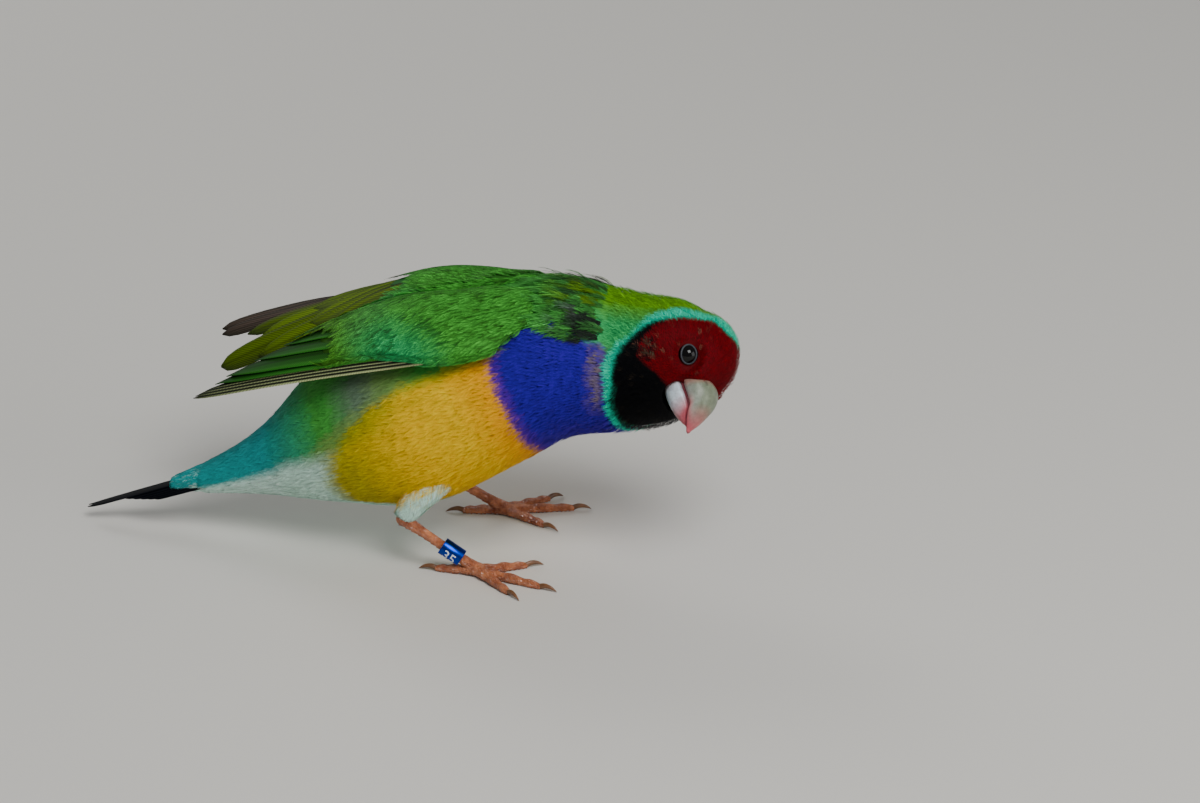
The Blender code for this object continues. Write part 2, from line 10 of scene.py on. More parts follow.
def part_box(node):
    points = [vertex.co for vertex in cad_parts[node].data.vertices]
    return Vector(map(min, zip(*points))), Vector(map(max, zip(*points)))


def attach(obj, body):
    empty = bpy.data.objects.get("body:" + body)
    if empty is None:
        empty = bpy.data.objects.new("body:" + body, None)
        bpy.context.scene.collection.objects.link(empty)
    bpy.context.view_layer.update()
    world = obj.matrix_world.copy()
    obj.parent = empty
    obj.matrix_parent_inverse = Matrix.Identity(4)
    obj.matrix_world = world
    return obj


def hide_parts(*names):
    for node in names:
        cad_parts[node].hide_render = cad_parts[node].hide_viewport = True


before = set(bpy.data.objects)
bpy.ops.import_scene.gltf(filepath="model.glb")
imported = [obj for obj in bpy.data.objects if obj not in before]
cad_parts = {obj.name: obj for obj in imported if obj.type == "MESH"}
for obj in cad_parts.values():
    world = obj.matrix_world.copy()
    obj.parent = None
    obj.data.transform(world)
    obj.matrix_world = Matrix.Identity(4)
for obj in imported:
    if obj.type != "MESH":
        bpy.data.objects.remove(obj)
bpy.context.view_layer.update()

# Where the bird stands. All lengths below are millimetres from the point on the floor under its
# breast, and the frame's right eye tells where that point is.
HEAD_AT = np.array((42.7, -2.0, 43.9))
HEAD_YAW = 61.0  # degrees that the bill swings from straight down towards the right side
HEAD_PITCH = 17.5  # degrees that the bill lifts towards the front
HEAD_ROLL = 17.5  # degrees that the crown leans to the right
EYE_AT = (1.9, -0.2, 6.0)  # along the bill, up the crown and to the right
EYE_RADIUS = 2.15
EYE_FACING = np.array((0.633, 0.275, 0.723))
EYE_TALL = np.array((-0.774, 0.343, 0.531))
LID_WIDE, LID_TALL = 1.5, 1.88  # half sizes of the opening between the lids
ACROSS = np.array((0.0, 1.0, 0.0))


def head_ways():
    """The ways along the bill, up the crown and to the head's right, to three places."""
    bill = Matrix.Rotation(math.radians(-HEAD_YAW), 3, "X") @ Vector((0, 0, -1))
    crown = Vector((1, 0, 0))
    lift = Matrix.Rotation(math.radians(HEAD_PITCH), 3, bill.cross(crown))
    bill = lift @ bill
    crown = Matrix.Rotation(math.radians(HEAD_ROLL), 3, bill) @ (lift @ crown)
    return (np.round(np.array(way), 3) for way in (bill, crown, bill.cross(crown)))


BILL_WAY, CROWN_WAY, RIGHT_WAY = head_ways()


def unit(ways):
    """Ways with a length of 1 each."""
    return ways / np.linalg.norm(ways, axis=-1, keepdims=True)


def in_head(ahead, up, right):
    """A point given along the bill, up the crown and to the right of the middle of the head."""
    return HEAD_AT + BILL_WAY * ahead + CROWN_WAY * up + RIGHT_WAY * right


def eye_frame(side):
    """An eye's centre and the ways it faces, is tall and is wide. Side is 1 at the right, -1 at the left."""
    facing = unit(EYE_FACING)
    tall = unit(EYE_TALL - facing * (EYE_TALL @ facing))
    ways = (facing, tall, np.cross(facing, tall))
    ways = [BILL_WAY * w[0] + CROWN_WAY * w[1] + RIGHT_WAY * w[2] * side for w in ways]
    return (in_head(EYE_AT[0], EYE_AT[1], EYE_AT[2] * side), *ways)


def round_eye(points, side):
    """Each point's height along the eye's axis, and how far from the axis, as a share of the lids' oval."""
    centre, facing, tall, wide = eye_frame(side)
    away = points - centre
    return away @ facing, np.hypot(away @ wide / LID_WIDE, away @ tall / LID_TALL)


low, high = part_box("eye_right")
SHIFT = np.array((low + high) / 2) * 1000 - in_head(*EYE_AT)


def metres(points):
    """Points in millimetres from the bird's own origin, as metres in the shared frame."""
    return (np.asarray(points, float) + SHIFT) / 1000


def millimetres(points):
    """The other way: from the shared frame to the bird's own millimetres."""
    return np.asarray(points, float) * 1000 - SHIFT


def vertices(mesh):
    """A mesh's vertices as an array."""
    co = np.empty(len(mesh.vertices) * 3)
    mesh.vertices.foreach_get("co", co)
    return co.reshape(-1, 3)


def meshed(name, bm):
    """A new mesh from a bmesh, which is freed."""
    mesh = bpy.data.meshes.new(name)
    bm.to_mesh(mesh)
    bm.free()
    return mesh


def merge(bm, piece):
    """Moves one bmesh into another."""
    mesh = meshed("piece", piece)
    bm.from_mesh(mesh)
    bpy.data.meshes.remove(mesh)


def placed(name, data):
    """A new object in the scene."""
    obj = bpy.data.objects.new(name, data)
    bpy.context.scene.collection.objects.link(obj)
    return obj


def finished(mesh, paint):
    """A piece from a mesh of the same name: smooth, with its material, riding on the one body."""
    mesh.shade_smooth()
    mesh.materials.append(paint)
    piece = placed(mesh.name, mesh)
    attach(piece, "root")
    return piece


def shown(name, bm, paint):
    """A finished piece from a bmesh."""
    return finished(meshed(name, bm), paint)


# Paint box: the colours are sRGB codes set with a few readings, and adjusted against
# renders. Small functions build the materials.
def linear(code):
    """A colour as Blender wants it, from its sRGB hex code."""
    parts = [int(code[i : i + 2], 16) / 255 for i in (0, 2, 4)]
    return np.array([c / 12.92 if c <= 0.04045 else ((c + 0.055) / 1.055) ** 2.4 for c in parts])


def add(tree, kind, links=(), **settings):
    """Adds a node, sets its inputs and properties, and links its inputs to other outputs."""
    node = tree.nodes.new("ShaderNode" + kind)
    for name, value in settings.items():
        if name in node.bl_rna.properties:
            setattr(node, name, value)
        else:
            node.inputs[name.replace("_", " ")].default_value = value
    for name, output in dict(links).items():
        tree.links.new(node.inputs[name], output)
    return node


def material(name, colour=None, **settings):
    """A new material, its node tree and its shader, with these settings and perhaps a plain colour."""
    made = bpy.data.materials.new(name)
    made.use_nodes = True
    shader = made.node_tree.nodes["Principled BSDF"]
    if colour:
        shader.inputs["Base Color"].default_value = (*linear(colour), 1)
    for key, value in settings.items():
        shader.inputs[key.replace("_", " ")].default_value = value
    return made, made.node_tree, shader


def surface(tree, shader, colour, height=None, strength=0.0, distance=0.0):
    """Links a shader to its colour and, where there is one, to a bump that follows a height."""
    tree.links.new(shader.inputs["Base Color"], colour)
    if height:
        bump = add(tree, "Bump", {"Height": height}, Strength=strength, Distance=distance)
        tree.links.new(shader.inputs["Normal"], bump.outputs["Normal"])


def plumage_paint(tree):
    """The colour that painted() stores on a mesh."""
    return add(tree, "Attribute", attribute_name="plumage").outputs["Color"]


def pattern(tree, kind, output, **settings):
    """A texture over a piece's own coordinates."""
    place = add(tree, "TexCoord").outputs["Object"]
    return add(tree, kind, {"Vector": place}, **settings).outputs[output]


def tinted(tree, colour, grain, **limits):
    """A colour made darker and lighter by a pattern, between the limits."""
    shade = add(tree, "MapRange", {"Value": grain}, **limits).outputs["Result"]
    return add(tree, "VectorMath", {0: colour, 1: shade}, operation="MULTIPLY").outputs["Vector"]


def ramped(tree, grain, dark, light, start=0.0, end=1.0):
    """Two colours blended over a pattern, from start to end."""
    ramp = add(tree, "ValToRGB", {"Fac": grain})
    for element, place, code in zip(ramp.color_ramp.elements, (start, end), (dark, light)):
        element.position = place
        element.color = (*linear(code), 1)
    return ramp.outputs["Color"]


# Skin of the trunk, neck and head. Under the feathers a finch is one smooth body, so the four
# flesh solids are joined into one closed skin, smoothed, and drawn in by the depth of the coat.
# Each station of the spine gives how far ahead, how high, and the half width and half depth there.
SPINE = np.array((
    (-59.5, 10.4, 3.6, 2.3), (-50.2, 13.5, 5.8, 4.6), (-42.8, 16.3, 8.4, 7.4),
    (-36.5, 19.0, 11.2, 10.8), (-28.5, 22.9, 14.4, 15.1), (-17.7, 28.0, 17.4, 19.2),
    (-7.5, 33.2, 18.2, 18.8), (2.6, 38.1, 17.9, 17.6), (10.8, 41.5, 16.6, 16.4),
    (18.0, 42.6, 14.8, 15.6), (25.5, 42.5, 13.0, 14.6), (32.5, 42.7, 11.8, 13.6),
    (38.0, 43.9, 10.6, 12.3), (43.0, 44.6, 8.2, 10.0), (46.0, 45.0, 5.0, 6.4),
))
along = np.linspace(SPINE[0, 0], SPINE[-1, 0], 212)
height, half_width, half_depth = (np.interp(along, SPINE[:, 0], SPINE[:, i]) for i in (1, 2, 3))
for _ in range(3):
    height[1:-1] = (height[:-2] + height[1:-1] + height[2:]) / 3
spine_way = unit(np.stack((np.gradient(along), 0 * along, np.gradient(height)), 1))
BATCH = 20000  # points compared with the spine at a time, which bounds the memory


def on_spine(points):
    """The nearest station of the spine to each point, its angle from the top, and the spine's way there."""
    index = np.zeros(len(points), int)
    for i in range(0, len(points), BATCH):
        ahead = points[i : i + BATCH, None, 0] - along
        up = points[i : i + BATCH, None, 2] - height
        past = abs(ahead * spine_way[:, 0] + up * spine_way[:, 2])
        index[i : i + BATCH] = np.argmin(past + 0.001 * np.hypot(ahead, up), axis=1)
    way = spine_way[index]
    rise = (points[:, 2] - height[index]) * way[:, 0] - (points[:, 0] - along[index]) * way[:, 2]
    angle = np.degrees(np.arctan2(points[:, 1] / half_width[index], rise / half_depth[index]))
    return along[index], angle, way


def in_head_frame(points):
    """Each point's place along the bill, up the crown and to the right of the head's middle."""
    away = points - HEAD_AT
    return away @ BILL_WAY, away @ CROWN_WAY, away @ RIGHT_WAY


SKIN_CELL = 0.6
SKIN_OVER_FLESH, SKIN_UNDER_EYE = 0.3, -0.25
# Balls that fill the face round the bill's root: ahead, up, right and radius.
FACE = ((3.9, -0.6, 0.0, 4.4), (0.2, -5.2, 0.0, 4.4), (4.4, 0.2, 2.6, 3.7), (4.4, 0.2, -2.6, 3.7))


def joined_flesh():
    """One closed mesh in the bird's millimetres round the flesh solids and inside the bill's root."""
    bm = bmesh.new()
    for name in ("rump", "torso", "neck", "head", "eye_left", "eye_right"):
        piece = bmesh.new()
        piece.from_mesh(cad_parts[name].data)
        bmesh.ops.remove_doubles(piece, verts=piece.verts, dist=1e-6)
        piece.normal_update()
        over = SKIN_UNDER_EYE if "eye" in name else SKIN_OVER_FLESH
        for vert in piece.verts:
            vert.co = Vector(millimetres(vert.co)) + vert.normal * over
        merge(bm, piece)
    for ahead, up, right, radius in FACE:
        ball = bmesh.ops.create_icosphere(bm, subdivisions=3, radius=radius)["verts"]
        bmesh.ops.translate(bm, verts=ball, vec=in_head(ahead, up, right))
    obj = placed("skin", meshed("skin", bm))
    remesh = obj.modifiers.new("one skin", "REMESH")
    remesh.mode = "VOXEL"
    remesh.voxel_size = SKIN_CELL
    smooth = obj.modifiers.new("soft", "SMOOTH")
    smooth.iterations = 8
    shape = bpy.context.evaluated_depsgraph_get()
    made = bpy.data.meshes.new_from_object(obj.evaluated_get(shape))
    bpy.data.objects.remove(obj)
    return made


def coat_depth(points):
    """How deep the feathers lie over the skin: thin on the head, deep on the back and belly."""
    near = np.sqrt(sum(part**2 for part in in_head_frame(points)))
    body = np.interp(on_spine(points)[0], (-60, -45, -20, 20, 30), (0.6, 0.8, 1.1, 1.1, 0.9))
    return np.where(near < 16, np.minimum(body, np.interp(near, (9, 16), (0.5, 0.9))), body)


def islands_of(bm):
    """The sets of vertices that hang together, the largest last."""
    islands = []
    left = set(bm.verts)
    while left:
        island = {left.pop()}
        rim = list(island)
        while rim:
            for link in rim.pop().link_edges:
                for other in link.verts:
                    if other in left:
                        left.remove(other)
                        island.add(other)
                        rim.append(other)
        islands.append(island)
    return sorted(islands, key=len)


skin_mesh = joined_flesh()
bm = bmesh.new()
bm.from_mesh(skin_mesh)
bmesh.ops.delete(bm, geom=[v for island in islands_of(bm)[:-1] for v in island], context="VERTS")
bm.normal_update()
points = np.array([v.co for v in bm.verts])
normals = np.array([v.normal for v in bm.verts])
points -= normals * coat_depth(points)[:, None]
# The skin follows each eyeball inside the lids, and slopes back to the face outside them.
for side in (1, -1):
    rise, apart = round_eye(points, side)
    facing = eye_frame(side)[1]
    near = (rise > -1.5) & (rise < 4) & (apart < 2.2)
    seat = np.interp(apart, (0, 0.9, 1.25, 1.6), (1.4, 0.8, 0.75, 0.6))
    share = np.interp(apart, (1.3, 2.2), (1, 0))
    points[near] += facing * ((seat - rise) * share)[near][:, None]
for vert, point in zip(bm.verts, points):
    vert.co = point
bmesh.ops.smooth_vert(bm, verts=bm.verts, factor=0.5, use_axis_x=True, use_axis_y=True, use_axis_z=True)
bm.to_mesh(skin_mesh)
bm.free()


# Markings, the same on skin and feathers. The names are those of a bird watcher's chart. The
# borders start from points picked on the photograph and turned into the bird's own places:
# along the spine in millimetres, round it in degrees from the top, and round the mask's middle.
RED, BLACK, TURQUOISE = linear("72000d"), linear("020306"), linear("00dcb0")
NAPE, GREEN, TEAL = linear("66a800"), linear("46a240"), linear("009a9a")
PURPLE, VIOLET, YELLOW = linear("300ea0"), linear("5a1ca0"), linear("ffcc00")
ORANGE, OLIVE, WHITE = linear("f6aa00"), linear("8f9a1a"), linear("ccf0e0")
NECK, MOSS, GREY, TAN = linear("34b060"), linear("7c9c50"), linear("6f7a70"), linear("8a7a5c")
# Where the yellow belly ends behind, for each angle round the spine.
BELLY_REAR = np.array((
    (58, -10), (64, -16), (68, -20), (75, -25), (87, -29), (108, -31.5), (138, -31), (146, -21), (165, -12),
))
# The upper edge of the purple breast, as an angle for each place along the spine.
BREAST_TOP = np.array((
    (6, 62), (8.5, 55), (11, 44), (14, 37.5), (16.5, 39),
    (17.5, 46), (20, 49.5), (21, 56), (24.5, 57.5), (27, 70),
))
# How far the red and then the black reach from the mask's middle, for each direction from it, and
# how wide the turquoise band is outside the black.
MASK_CENTRE = (4.0, -0.5)
MASK_EDGE = np.array((
    (-180, 5.5), (-120, 5.6), (-107, 6.1), (-95, 6.5), (-87, 7.5), (-78, 8.8), (-62.8, 8.3),
    (-40, 7.45), (-12.2, 7.6), (20.6, 8.2), (39.7, 10.2), (58.7, 9.8), (75, 12.0), (180, 12.0),
))
BLACK_EDGE = np.array((
    (-180, 18.3), (-98.6, 18.1), (-94, 15.4), (-73, 11.8), (-53, 9.5), (-23.6, 8.5), (-5, 7.9),
    (20.6, 8.4), (39.7, 10.4), (58.7, 10.0), (75, 12.2), (180, 12.2),
))
BAND = np.array((
    (-110, 0.8), (-98, 1.6), (-85, 1.9), (-62, 0.5), (-45, 0.5), (-20, 1.6), (10, 2.7), (50, 2.3),
))


def mixed(base, paint, share):
    """Colours with another laid over them by a share from 0 to 1 for each point."""
    share = np.clip(share, 0, 1)[:, None]
    return base * (1 - share) + paint * share


def edge(value, width):
    """0 to 1 as a value goes from minus to plus that width."""
    return np.clip(value / (2 * width) + 0.5, 0, 1)


def flat(paint, points):
    """One colour for every point."""
    return np.tile(paint, (len(points), 1))


def inside(ahead, up, border):
    """How far inside a border of the face each point is, and its direction from the mask's middle."""
    around = np.degrees(np.arctan2(up - MASK_CENTRE[1], MASK_CENTRE[0] - ahead))
    away = np.hypot(ahead - MASK_CENTRE[0], up - MASK_CENTRE[1])
    return np.interp(around, *border.T) - away, around


def plumage(points, grain):
    """The colour of the bird at each point. Grain is a number of about 1 that roughens the borders."""
    place, angle, _ = on_spine(points)
    angle = abs(angle) + grain * 2
    place = place + grain * 0.6
    ahead, up, _ = in_head_frame(points)
    ahead = ahead + grain * 0.25
    colour = mixed(flat(GREEN, points), NECK, edge(place - 20, 2) * edge(75 - angle, 10))
    colour = mixed(colour, NAPE, edge(place - 22, 2) * edge(27 - angle, 12))
    colour = mixed(colour, TEAL, edge(-36 - place, 7))
    rear = np.interp(angle, *BELLY_REAR.T)
    belly_top = np.interp(place, (-30, -13, -3, 6), (66, 60, 60, 58))
    belly = edge(angle - belly_top, 5) * edge(place - rear, 2.2) * edge(9 - place, 1)
    flank = mixed(flat(YELLOW, points), ORANGE, edge(place - 1, 4))
    flank = mixed(flank, OLIVE, edge(-19 - place, 7) * 0.7 + edge(-10 - place, 8) * edge(76 - angle, 8) * 0.5)
    grey = edge(angle - 38, 6) * edge(place + 23, 3) * edge(-13 - place, 3) * 0.8
    moss = edge(4 - abs(place - rear + 2.5), 2) * edge(angle - 44, 8) * edge(95 - angle, 6) * 0.7
    vent = edge(rear + 1 - place, 3) * edge(angle - np.interp(place, (-60, -38, -30), (100, 80, 86)), 8)
    for paint, share in ((GREY, grey), (MOSS, moss), (WHITE, vent), (flank, belly)):
        colour = mixed(colour, paint, share)
    breast = edge(angle - np.interp(place, *BREAST_TOP.T), 3)
    colour = mixed(colour, VIOLET, edge(place - 5.8, 0.7) * breast)
    colour = mixed(colour, PURPLE, edge(place - 6.4, 0.8) * breast * edge(place - 7.4, 1.0))
    worn = edge(place - 22.5, 1.0) * edge(26 - place, 1.5) * edge(angle - 58, 5) * edge(112 - angle, 8)
    colour = mixed(colour, TAN, worn * edge(grain, 0.8) * 0.8)
    on_head = edge(place - 24, 1.5)
    black, around = inside(ahead, up, BLACK_EDGE)
    colour = mixed(colour, TURQUOISE, edge(black + np.interp(around, *BAND.T), 0.35) * on_head)
    colour = mixed(colour, BLACK, edge(black, 0.3) * on_head)
    return mixed(colour, RED, edge(inside(ahead, up, MASK_EDGE)[0], 0.25) * on_head)


def painted(mesh, colours):
    """Stores a colour for each vertex of a mesh under the name that the feather materials read."""
    layer = mesh.color_attributes.new("plumage", "FLOAT_COLOR", "POINT")
    rgba = np.ones((len(mesh.vertices), 4), np.float32)
    rgba[:, :3] = colours
    layer.data.foreach_set("color", rgba.ravel())


def undercoat(mesh, colour, dim):
    """Paints a form under feathers in their own colours, darker, as if in their shade."""
    points = millimetres(vertices(mesh))
    painted(mesh, colour(points, np.zeros(len(points))) * dim)


# Feather: matt keratin in the colours of the markings. The barbs vary a little in their colour.
feather, tree, shader = material("feather_keratin", Roughness=0.65, Specular_IOR_Level=0.08)
surface(tree, shader, plumage_paint(tree))

points = np.array([v.co for v in skin_mesh.vertices])
# The skin is painted in the markings at 0.55 of their brightness: painted shade of the coat and wings that
# lie over it.
painted(skin_mesh, plumage(points, np.zeros(len(points))) * 0.55)
skin_mesh.vertices.foreach_set("co", metres(points).ravel())
skin_mesh.update()
skin_mesh.name = "skin"
skin_mesh.materials.clear()
skin_mesh.materials.append(feather)
skin = placed("skin", skin_mesh)
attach(skin, "root")
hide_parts("rump", "torso", "neck", "head")


# Coat of the trunk and head: thousands of small contour feathers, each a fan of thin barbs that
# leave the shaft to both sides, rooted in the skin and lying back over the next ones.
luck = np.random.default_rng(7)
BILL_ROOT = in_head(9.5, -2.0, 0)


def lie(points, normals):
    """Which way feathers lie at each point: back along the spine, and away from the bill on the head."""
    out = points - BILL_ROOT
    far = np.linalg.norm(out, axis=1)
    share = edge(20 - far, 5)[:, None]
    way = -on_spine(points)[2] * (1 - share) + out / far[:, None] * share
    for side in (1, -1):
        rise, apart = round_eye(points, side)
        clear = (edge(2.1 - apart, 0.5) * (rise > -2) * 1.6)[:, None]
        aside = points - eye_frame(side)[0]
        way += clear * aside / np.linalg.norm(aside, axis=1)[:, None]
    return unit(way - normals * (way * normals).sum(1)[:, None])


def combed(way):
    """The lie of feathers that all go one way over a surface."""
    def lie(points, normals):
        flat_way = way - normals * (normals @ way)[:, None]
        return flat_way / np.maximum(np.linalg.norm(flat_way, axis=1), 1e-6)[:, None]

    return lie


def ground(mesh, lie):
    """A surface that feathers grow on: its triangles in millimetres, a tree to find it by, and their lie."""
    mesh.calc_loop_triangles()
    corners = np.empty(len(mesh.loop_triangles) * 3, int)
    mesh.loop_triangles.foreach_get("vertices", corners)
    corners = corners.reshape(-1, 3)
    co = millimetres(vertices(mesh))
    return co[corners], BVHTree.FromPolygons([Vector(p) for p in co], corners.tolist()), lie


NEAR_CELLS = [(x, y, z) for x in (-1, 0, 1) for y in (-1, 0, 1) for z in (-1, 0, 1)]


def rooted(land, keep, apart, tries):
    """Evenly spread roots on a surface, as points and normals, where keep says and so far apart."""
    a, b, c = (land[0][:, i] for i in range(3))
    across = np.cross(b - a, c - a)
    area = np.linalg.norm(across, axis=1)
    pick = luck.choice(len(area), tries, p=area / area.sum())
    u, v = luck.random((2, tries, 1))
    flip = u + v > 1
    u, v = np.where(flip, 1 - u, u), np.where(flip, 1 - v, v)
    spots = a[pick] + (b - a)[pick] * u + (c - a)[pick] * v
    normal = (across / area[:, None])[pick]
    chosen = keep(spots, normal)
    spots, normal = spots[chosen], normal[chosen]
    cells = {}
    kept = []
    for i, (spot, (x, y, z)) in enumerate(zip(spots, np.floor(spots / apart).astype(int))):
        near = [j for dx, dy, dz in NEAR_CELLS for j in cells.get((x + dx, y + dy, z + dz), ())]
        if near and (((spots[near] - spot) ** 2).sum(1) < apart**2).any():
            continue
        cells.setdefault((x, y, z), []).append(i)
        kept.append(i)
    return spots[kept], normal[kept]


STEPS = 4
SHAFT_RISE = np.array((0.0, 0.55, 0.85, 1.0, 1.05))  # share of its full height at each station


def shafts(land, roots, normals, lengths, rise):
    """The line of each feather's shaft over the skin: places, ways and normals at STEPS + 1 stations."""
    _, tree, lie = land
    lines, ways, ups = [roots], [], [normals]
    for _ in range(STEPS):
        ways.append(lie(lines[-1], ups[-1]))
        ahead = lines[-1] + ways[-1] * (lengths / STEPS)[:, None]
        found = [tree.find_nearest(Vector(p)) for p in ahead]
        lines.append(np.array([f[0] for f in found]))
        ups.append(np.array([f[1] for f in found]))
    ways.append(lie(lines[-1], ups[-1]))
    lines, ways, ups = (np.stack(x, 1) for x in (lines, ways, ups))
    over = np.reshape(rise, (-1, 1)) * SHAFT_RISE
    return lines + ups * over[:, :, None], ways, ups


BARB_CORNERS = 5  # two at the root, two at the middle and one at the tip
BAKE_SIZE = 0.0006  # a barb's size on the flat map
BAKE_CORNERS = ((-0.4, 0.6), (0.4, 0.6), (0.4, 0), (-0.4, 0), (0, 1.4), (0.4, 0.6), (-0.4, 0.6))


def tufted(name, land, roots, normals, lengths, wide, rise, barbs, shade, paint, curl, vary, thin=1.0):
    """One coat piece of feathers with that many barbs each. Wide is their half width as a share of the
    length, shade scales the root, middle and tip of a barb, its dimmer root a painted shade of the
    feathers lying over it, and paint colours its middle."""
    lines, ways, ups = shafts(land, roots, normals, lengths, rise)
    count = len(roots)
    total = count * barbs
    row = np.arange(count)[:, None]
    radius = np.interp(on_spine(roots)[0], SPINE[:, 0], SPINE[:, 2])[:, None]

    def beside(t, lateral):
        """Places beside the shafts, following the body's curve, and the way up there."""
        t = np.clip(t, 0, 1) * STEPS
        i = np.minimum(t.astype(int), STEPS - 1)
        f = (t - i)[..., None]
        line, way, up = (part[row, i] * (1 - f) + part[row, i + 1] * f for part in (lines, ways, ups))
        sag = (lateral**2 / (2 * radius))[..., None]
        return line + np.cross(up, way) * lateral[..., None] - up * sag, up

    side = np.tile(np.where(np.arange(barbs) % 2 == 0, -1.0, 1.0), (count, 1))
    start = (np.arange(barbs) + 0.5) / barbs * 0.72 + luck.normal(0, 0.02, (count, barbs))
    reach = 0.42 + luck.normal(0, 0.05, (count, barbs))
    twist = luck.normal(0, curl, (count, barbs))
    spread = (lengths * wide)[:, None] * (1 - abs(start - 0.3) * 0.8)
    a, up_a = beside(start, side * 0.02 * spread)
    b, up_b = beside(start + reach * 0.45, side * spread * 0.62 + twist * 0.3)
    c, up_c = beside(start + reach, side * spread + twist)
    c = c + up_c * (luck.normal(0, 0.35, (count, barbs)) * curl)[..., None]
    b = b + up_b * 0.05
    thick = (lengths[:, None] * 0.022 + 0.035) * thin
    sides = unit(np.cross(up_b, b - a)) * (thick * 0.5)[..., None]
    verts = np.stack((a - sides, a + sides, b + sides, b - sides, c), 2).reshape(-1, 3)
    base = np.arange(total)[:, None]
    loops = base * BARB_CORNERS + np.array((3, 2, 1, 0, 4, 2, 3))
    mesh = bpy.data.meshes.new(name)
    mesh.vertices.add(len(verts))
    mesh.vertices.foreach_set("co", metres(verts).astype(np.float32).ravel())
    mesh.loops.add(loops.size)
    mesh.loops.foreach_set("vertex_index", loops.ravel().astype(np.int32))
    mesh.polygons.add(total * 2)
    starts = base * loops.shape[1] + np.array((0, 4))
    mesh.polygons.foreach_set("loop_start", starts.ravel().astype(np.int32))
    mesh.polygons.foreach_set("loop_total", np.tile((4, 3), total).astype(np.int32))
    colours = paint(b.reshape(-1, 3), np.repeat(luck.normal(0, 0.45, count), barbs))
    colours = colours * np.repeat(1 + luck.normal(0, 0.05, (count, 1)), barbs, 0)
    colours = colours * np.exp(luck.normal(0, vary, (total, 1)))
    # The shade scales each barb's root, middle and tip; the dimmer root is painted shade of the feathers over
    # it.
    colours = np.repeat(colours, BARB_CORNERS, 0) * np.tile(np.repeat(shade, (2, 2, 1)), total)[:, None]
    mesh.update(calc_edges=True)
    painted(mesh, np.clip(colours, 0, 1))
    place, angle, _ = on_spine(roots)
    home = np.stack(((place + 60) / 108, (angle + 180) / 360), 1) * 0.98 + 0.01
    local = np.stack((side * BAKE_SIZE, start * 0.002), 2)
    uv = home[:, None, None] + local[:, :, None] + np.array(BAKE_CORNERS) * BAKE_SIZE
    layer = mesh.uv_layers.new(name="OFBake")
    layer.data.foreach_set("uv", uv.astype(np.float32).ravel())
    piece = finished(mesh, feather)
    tilt = np.repeat(luck.normal(0, 0.09, (total, 1, 3)), BARB_CORNERS, 1)
    facing = np.stack((up_a, up_a, up_b, up_b, up_c), 2).reshape(total, BARB_CORNERS, 3) + tilt
    mesh.normals_split_custom_set_from_vertices(unit(facing.reshape(-1, 3)).tolist())
    return piece


def under_wings(points):
    """True where a folded wing hides the skin."""
    place, angle, _ = on_spine(points)
    low_edge = np.interp(place, (-27, -15, 6), (24, 34, 50))
    return (place > -18) & (place < 6) & (abs(angle) > 14) & (abs(angle) < low_edge)


body_ground = ground(skin_mesh, lie)
BANDS = ((-60, -38), (-38, -22), (-22, -8), (-8, 6), (6, 18), (18, 27))
for number, (rear, front) in enumerate(BANDS):
    def keep(spots, normal, rear=rear, front=front):
        place, _, _ = on_spine(spots)
        return (place > rear) & (place <= front) & ~under_wings(spots)

    roots, normals = rooted(body_ground, keep, 0.52 if number == len(BANDS) - 1 else 0.66, 90000)
    size = np.interp(on_spine(roots)[0], (-60, -30, 10, 27), (4.2, 5.0, 4.2, 2.6))
    size = size * luck.normal(1, 0.1, len(roots))
    rise = coat_depth(roots) * luck.normal(1, 0.05, len(roots))
    tufted(
        "coat_%d" % (number + 1), body_ground, roots, normals, size, 0.2, rise, 28,
        (0.75, 0.97, 1.05 if number else 1.4), plumage, 0.04, 0.07, 0.85,
    )


MANTLE_DARK, MANTLE_GREY, MANTLE_LIME = linear("1d261e"), linear("66706a"), linear("5f8a08")


def mantle_colour(points, grain):
    """Dark grey bases that show in the ruffled mantle, with paler and lime green feathers among them."""
    place, angle, _ = on_spine(points)
    pale = edge(grain - 0.6, 0.2) * edge(abs(angle) - 26, 8) * 0.6
    tone = mixed(flat(MANTLE_DARK, points), MANTLE_GREY, pale)
    tone = mixed(tone, GREEN, edge(0.15 - abs(grain), 0.1) * 0.6)
    tone = mixed(tone, MANTLE_LIME, edge(-0.3 - grain, 0.2) * edge(30 - abs(angle), 8) * 0.7)
    return mixed(tone, GREEN * 0.8, edge(16.5 - place, 2.5) * 0.85)


def keep_mantle(spots, normal):
    """The hind neck and shoulders, down to the upper edge of the purple breast."""
    place, angle, _ = on_spine(spots)
    low_edge = np.interp(place, (14, 17.5, 21, 27), (40, 48, 56, 52))
    return (place > 14) & (place < 26.5) & (abs(angle) < low_edge)


roots, normals = rooted(body_ground, keep_mantle, 0.65, 40000)
size = luck.normal(6.0, 1.0, len(roots))
rise = np.abs(luck.normal(1.5, 0.5, len(roots)))
tufted(
    "coat_mantle", body_ground, roots, normals, size, 0.13, rise, 40,
    (0.6, 0.95, 1.4), mantle_colour, 0.35, 0.4, 0.6,
)


def keep_head(spots, normal):
    """The head in front of the neck bands, but not inside the bill's root or the eyes."""
    ahead, up, right = in_head_frame(spots)
    bill_root = np.interp(up, (-4, -2.8, 0.3, 3), (3.9, 4.2, 6.3, 6.2))
    clear = (ahead <= bill_root) | (np.hypot((up + 2.7) / 4.9, right / 4.4) >= 1)
    for side in (1, -1):
        rise, apart = round_eye(spots, side)
        clear &= (rise < -1.5) | (apart > 1.3)
    return (on_spine(spots)[0] > 27) & clear


FLECK = linear("a08a6c")
EAR = (1.3, -6.6)


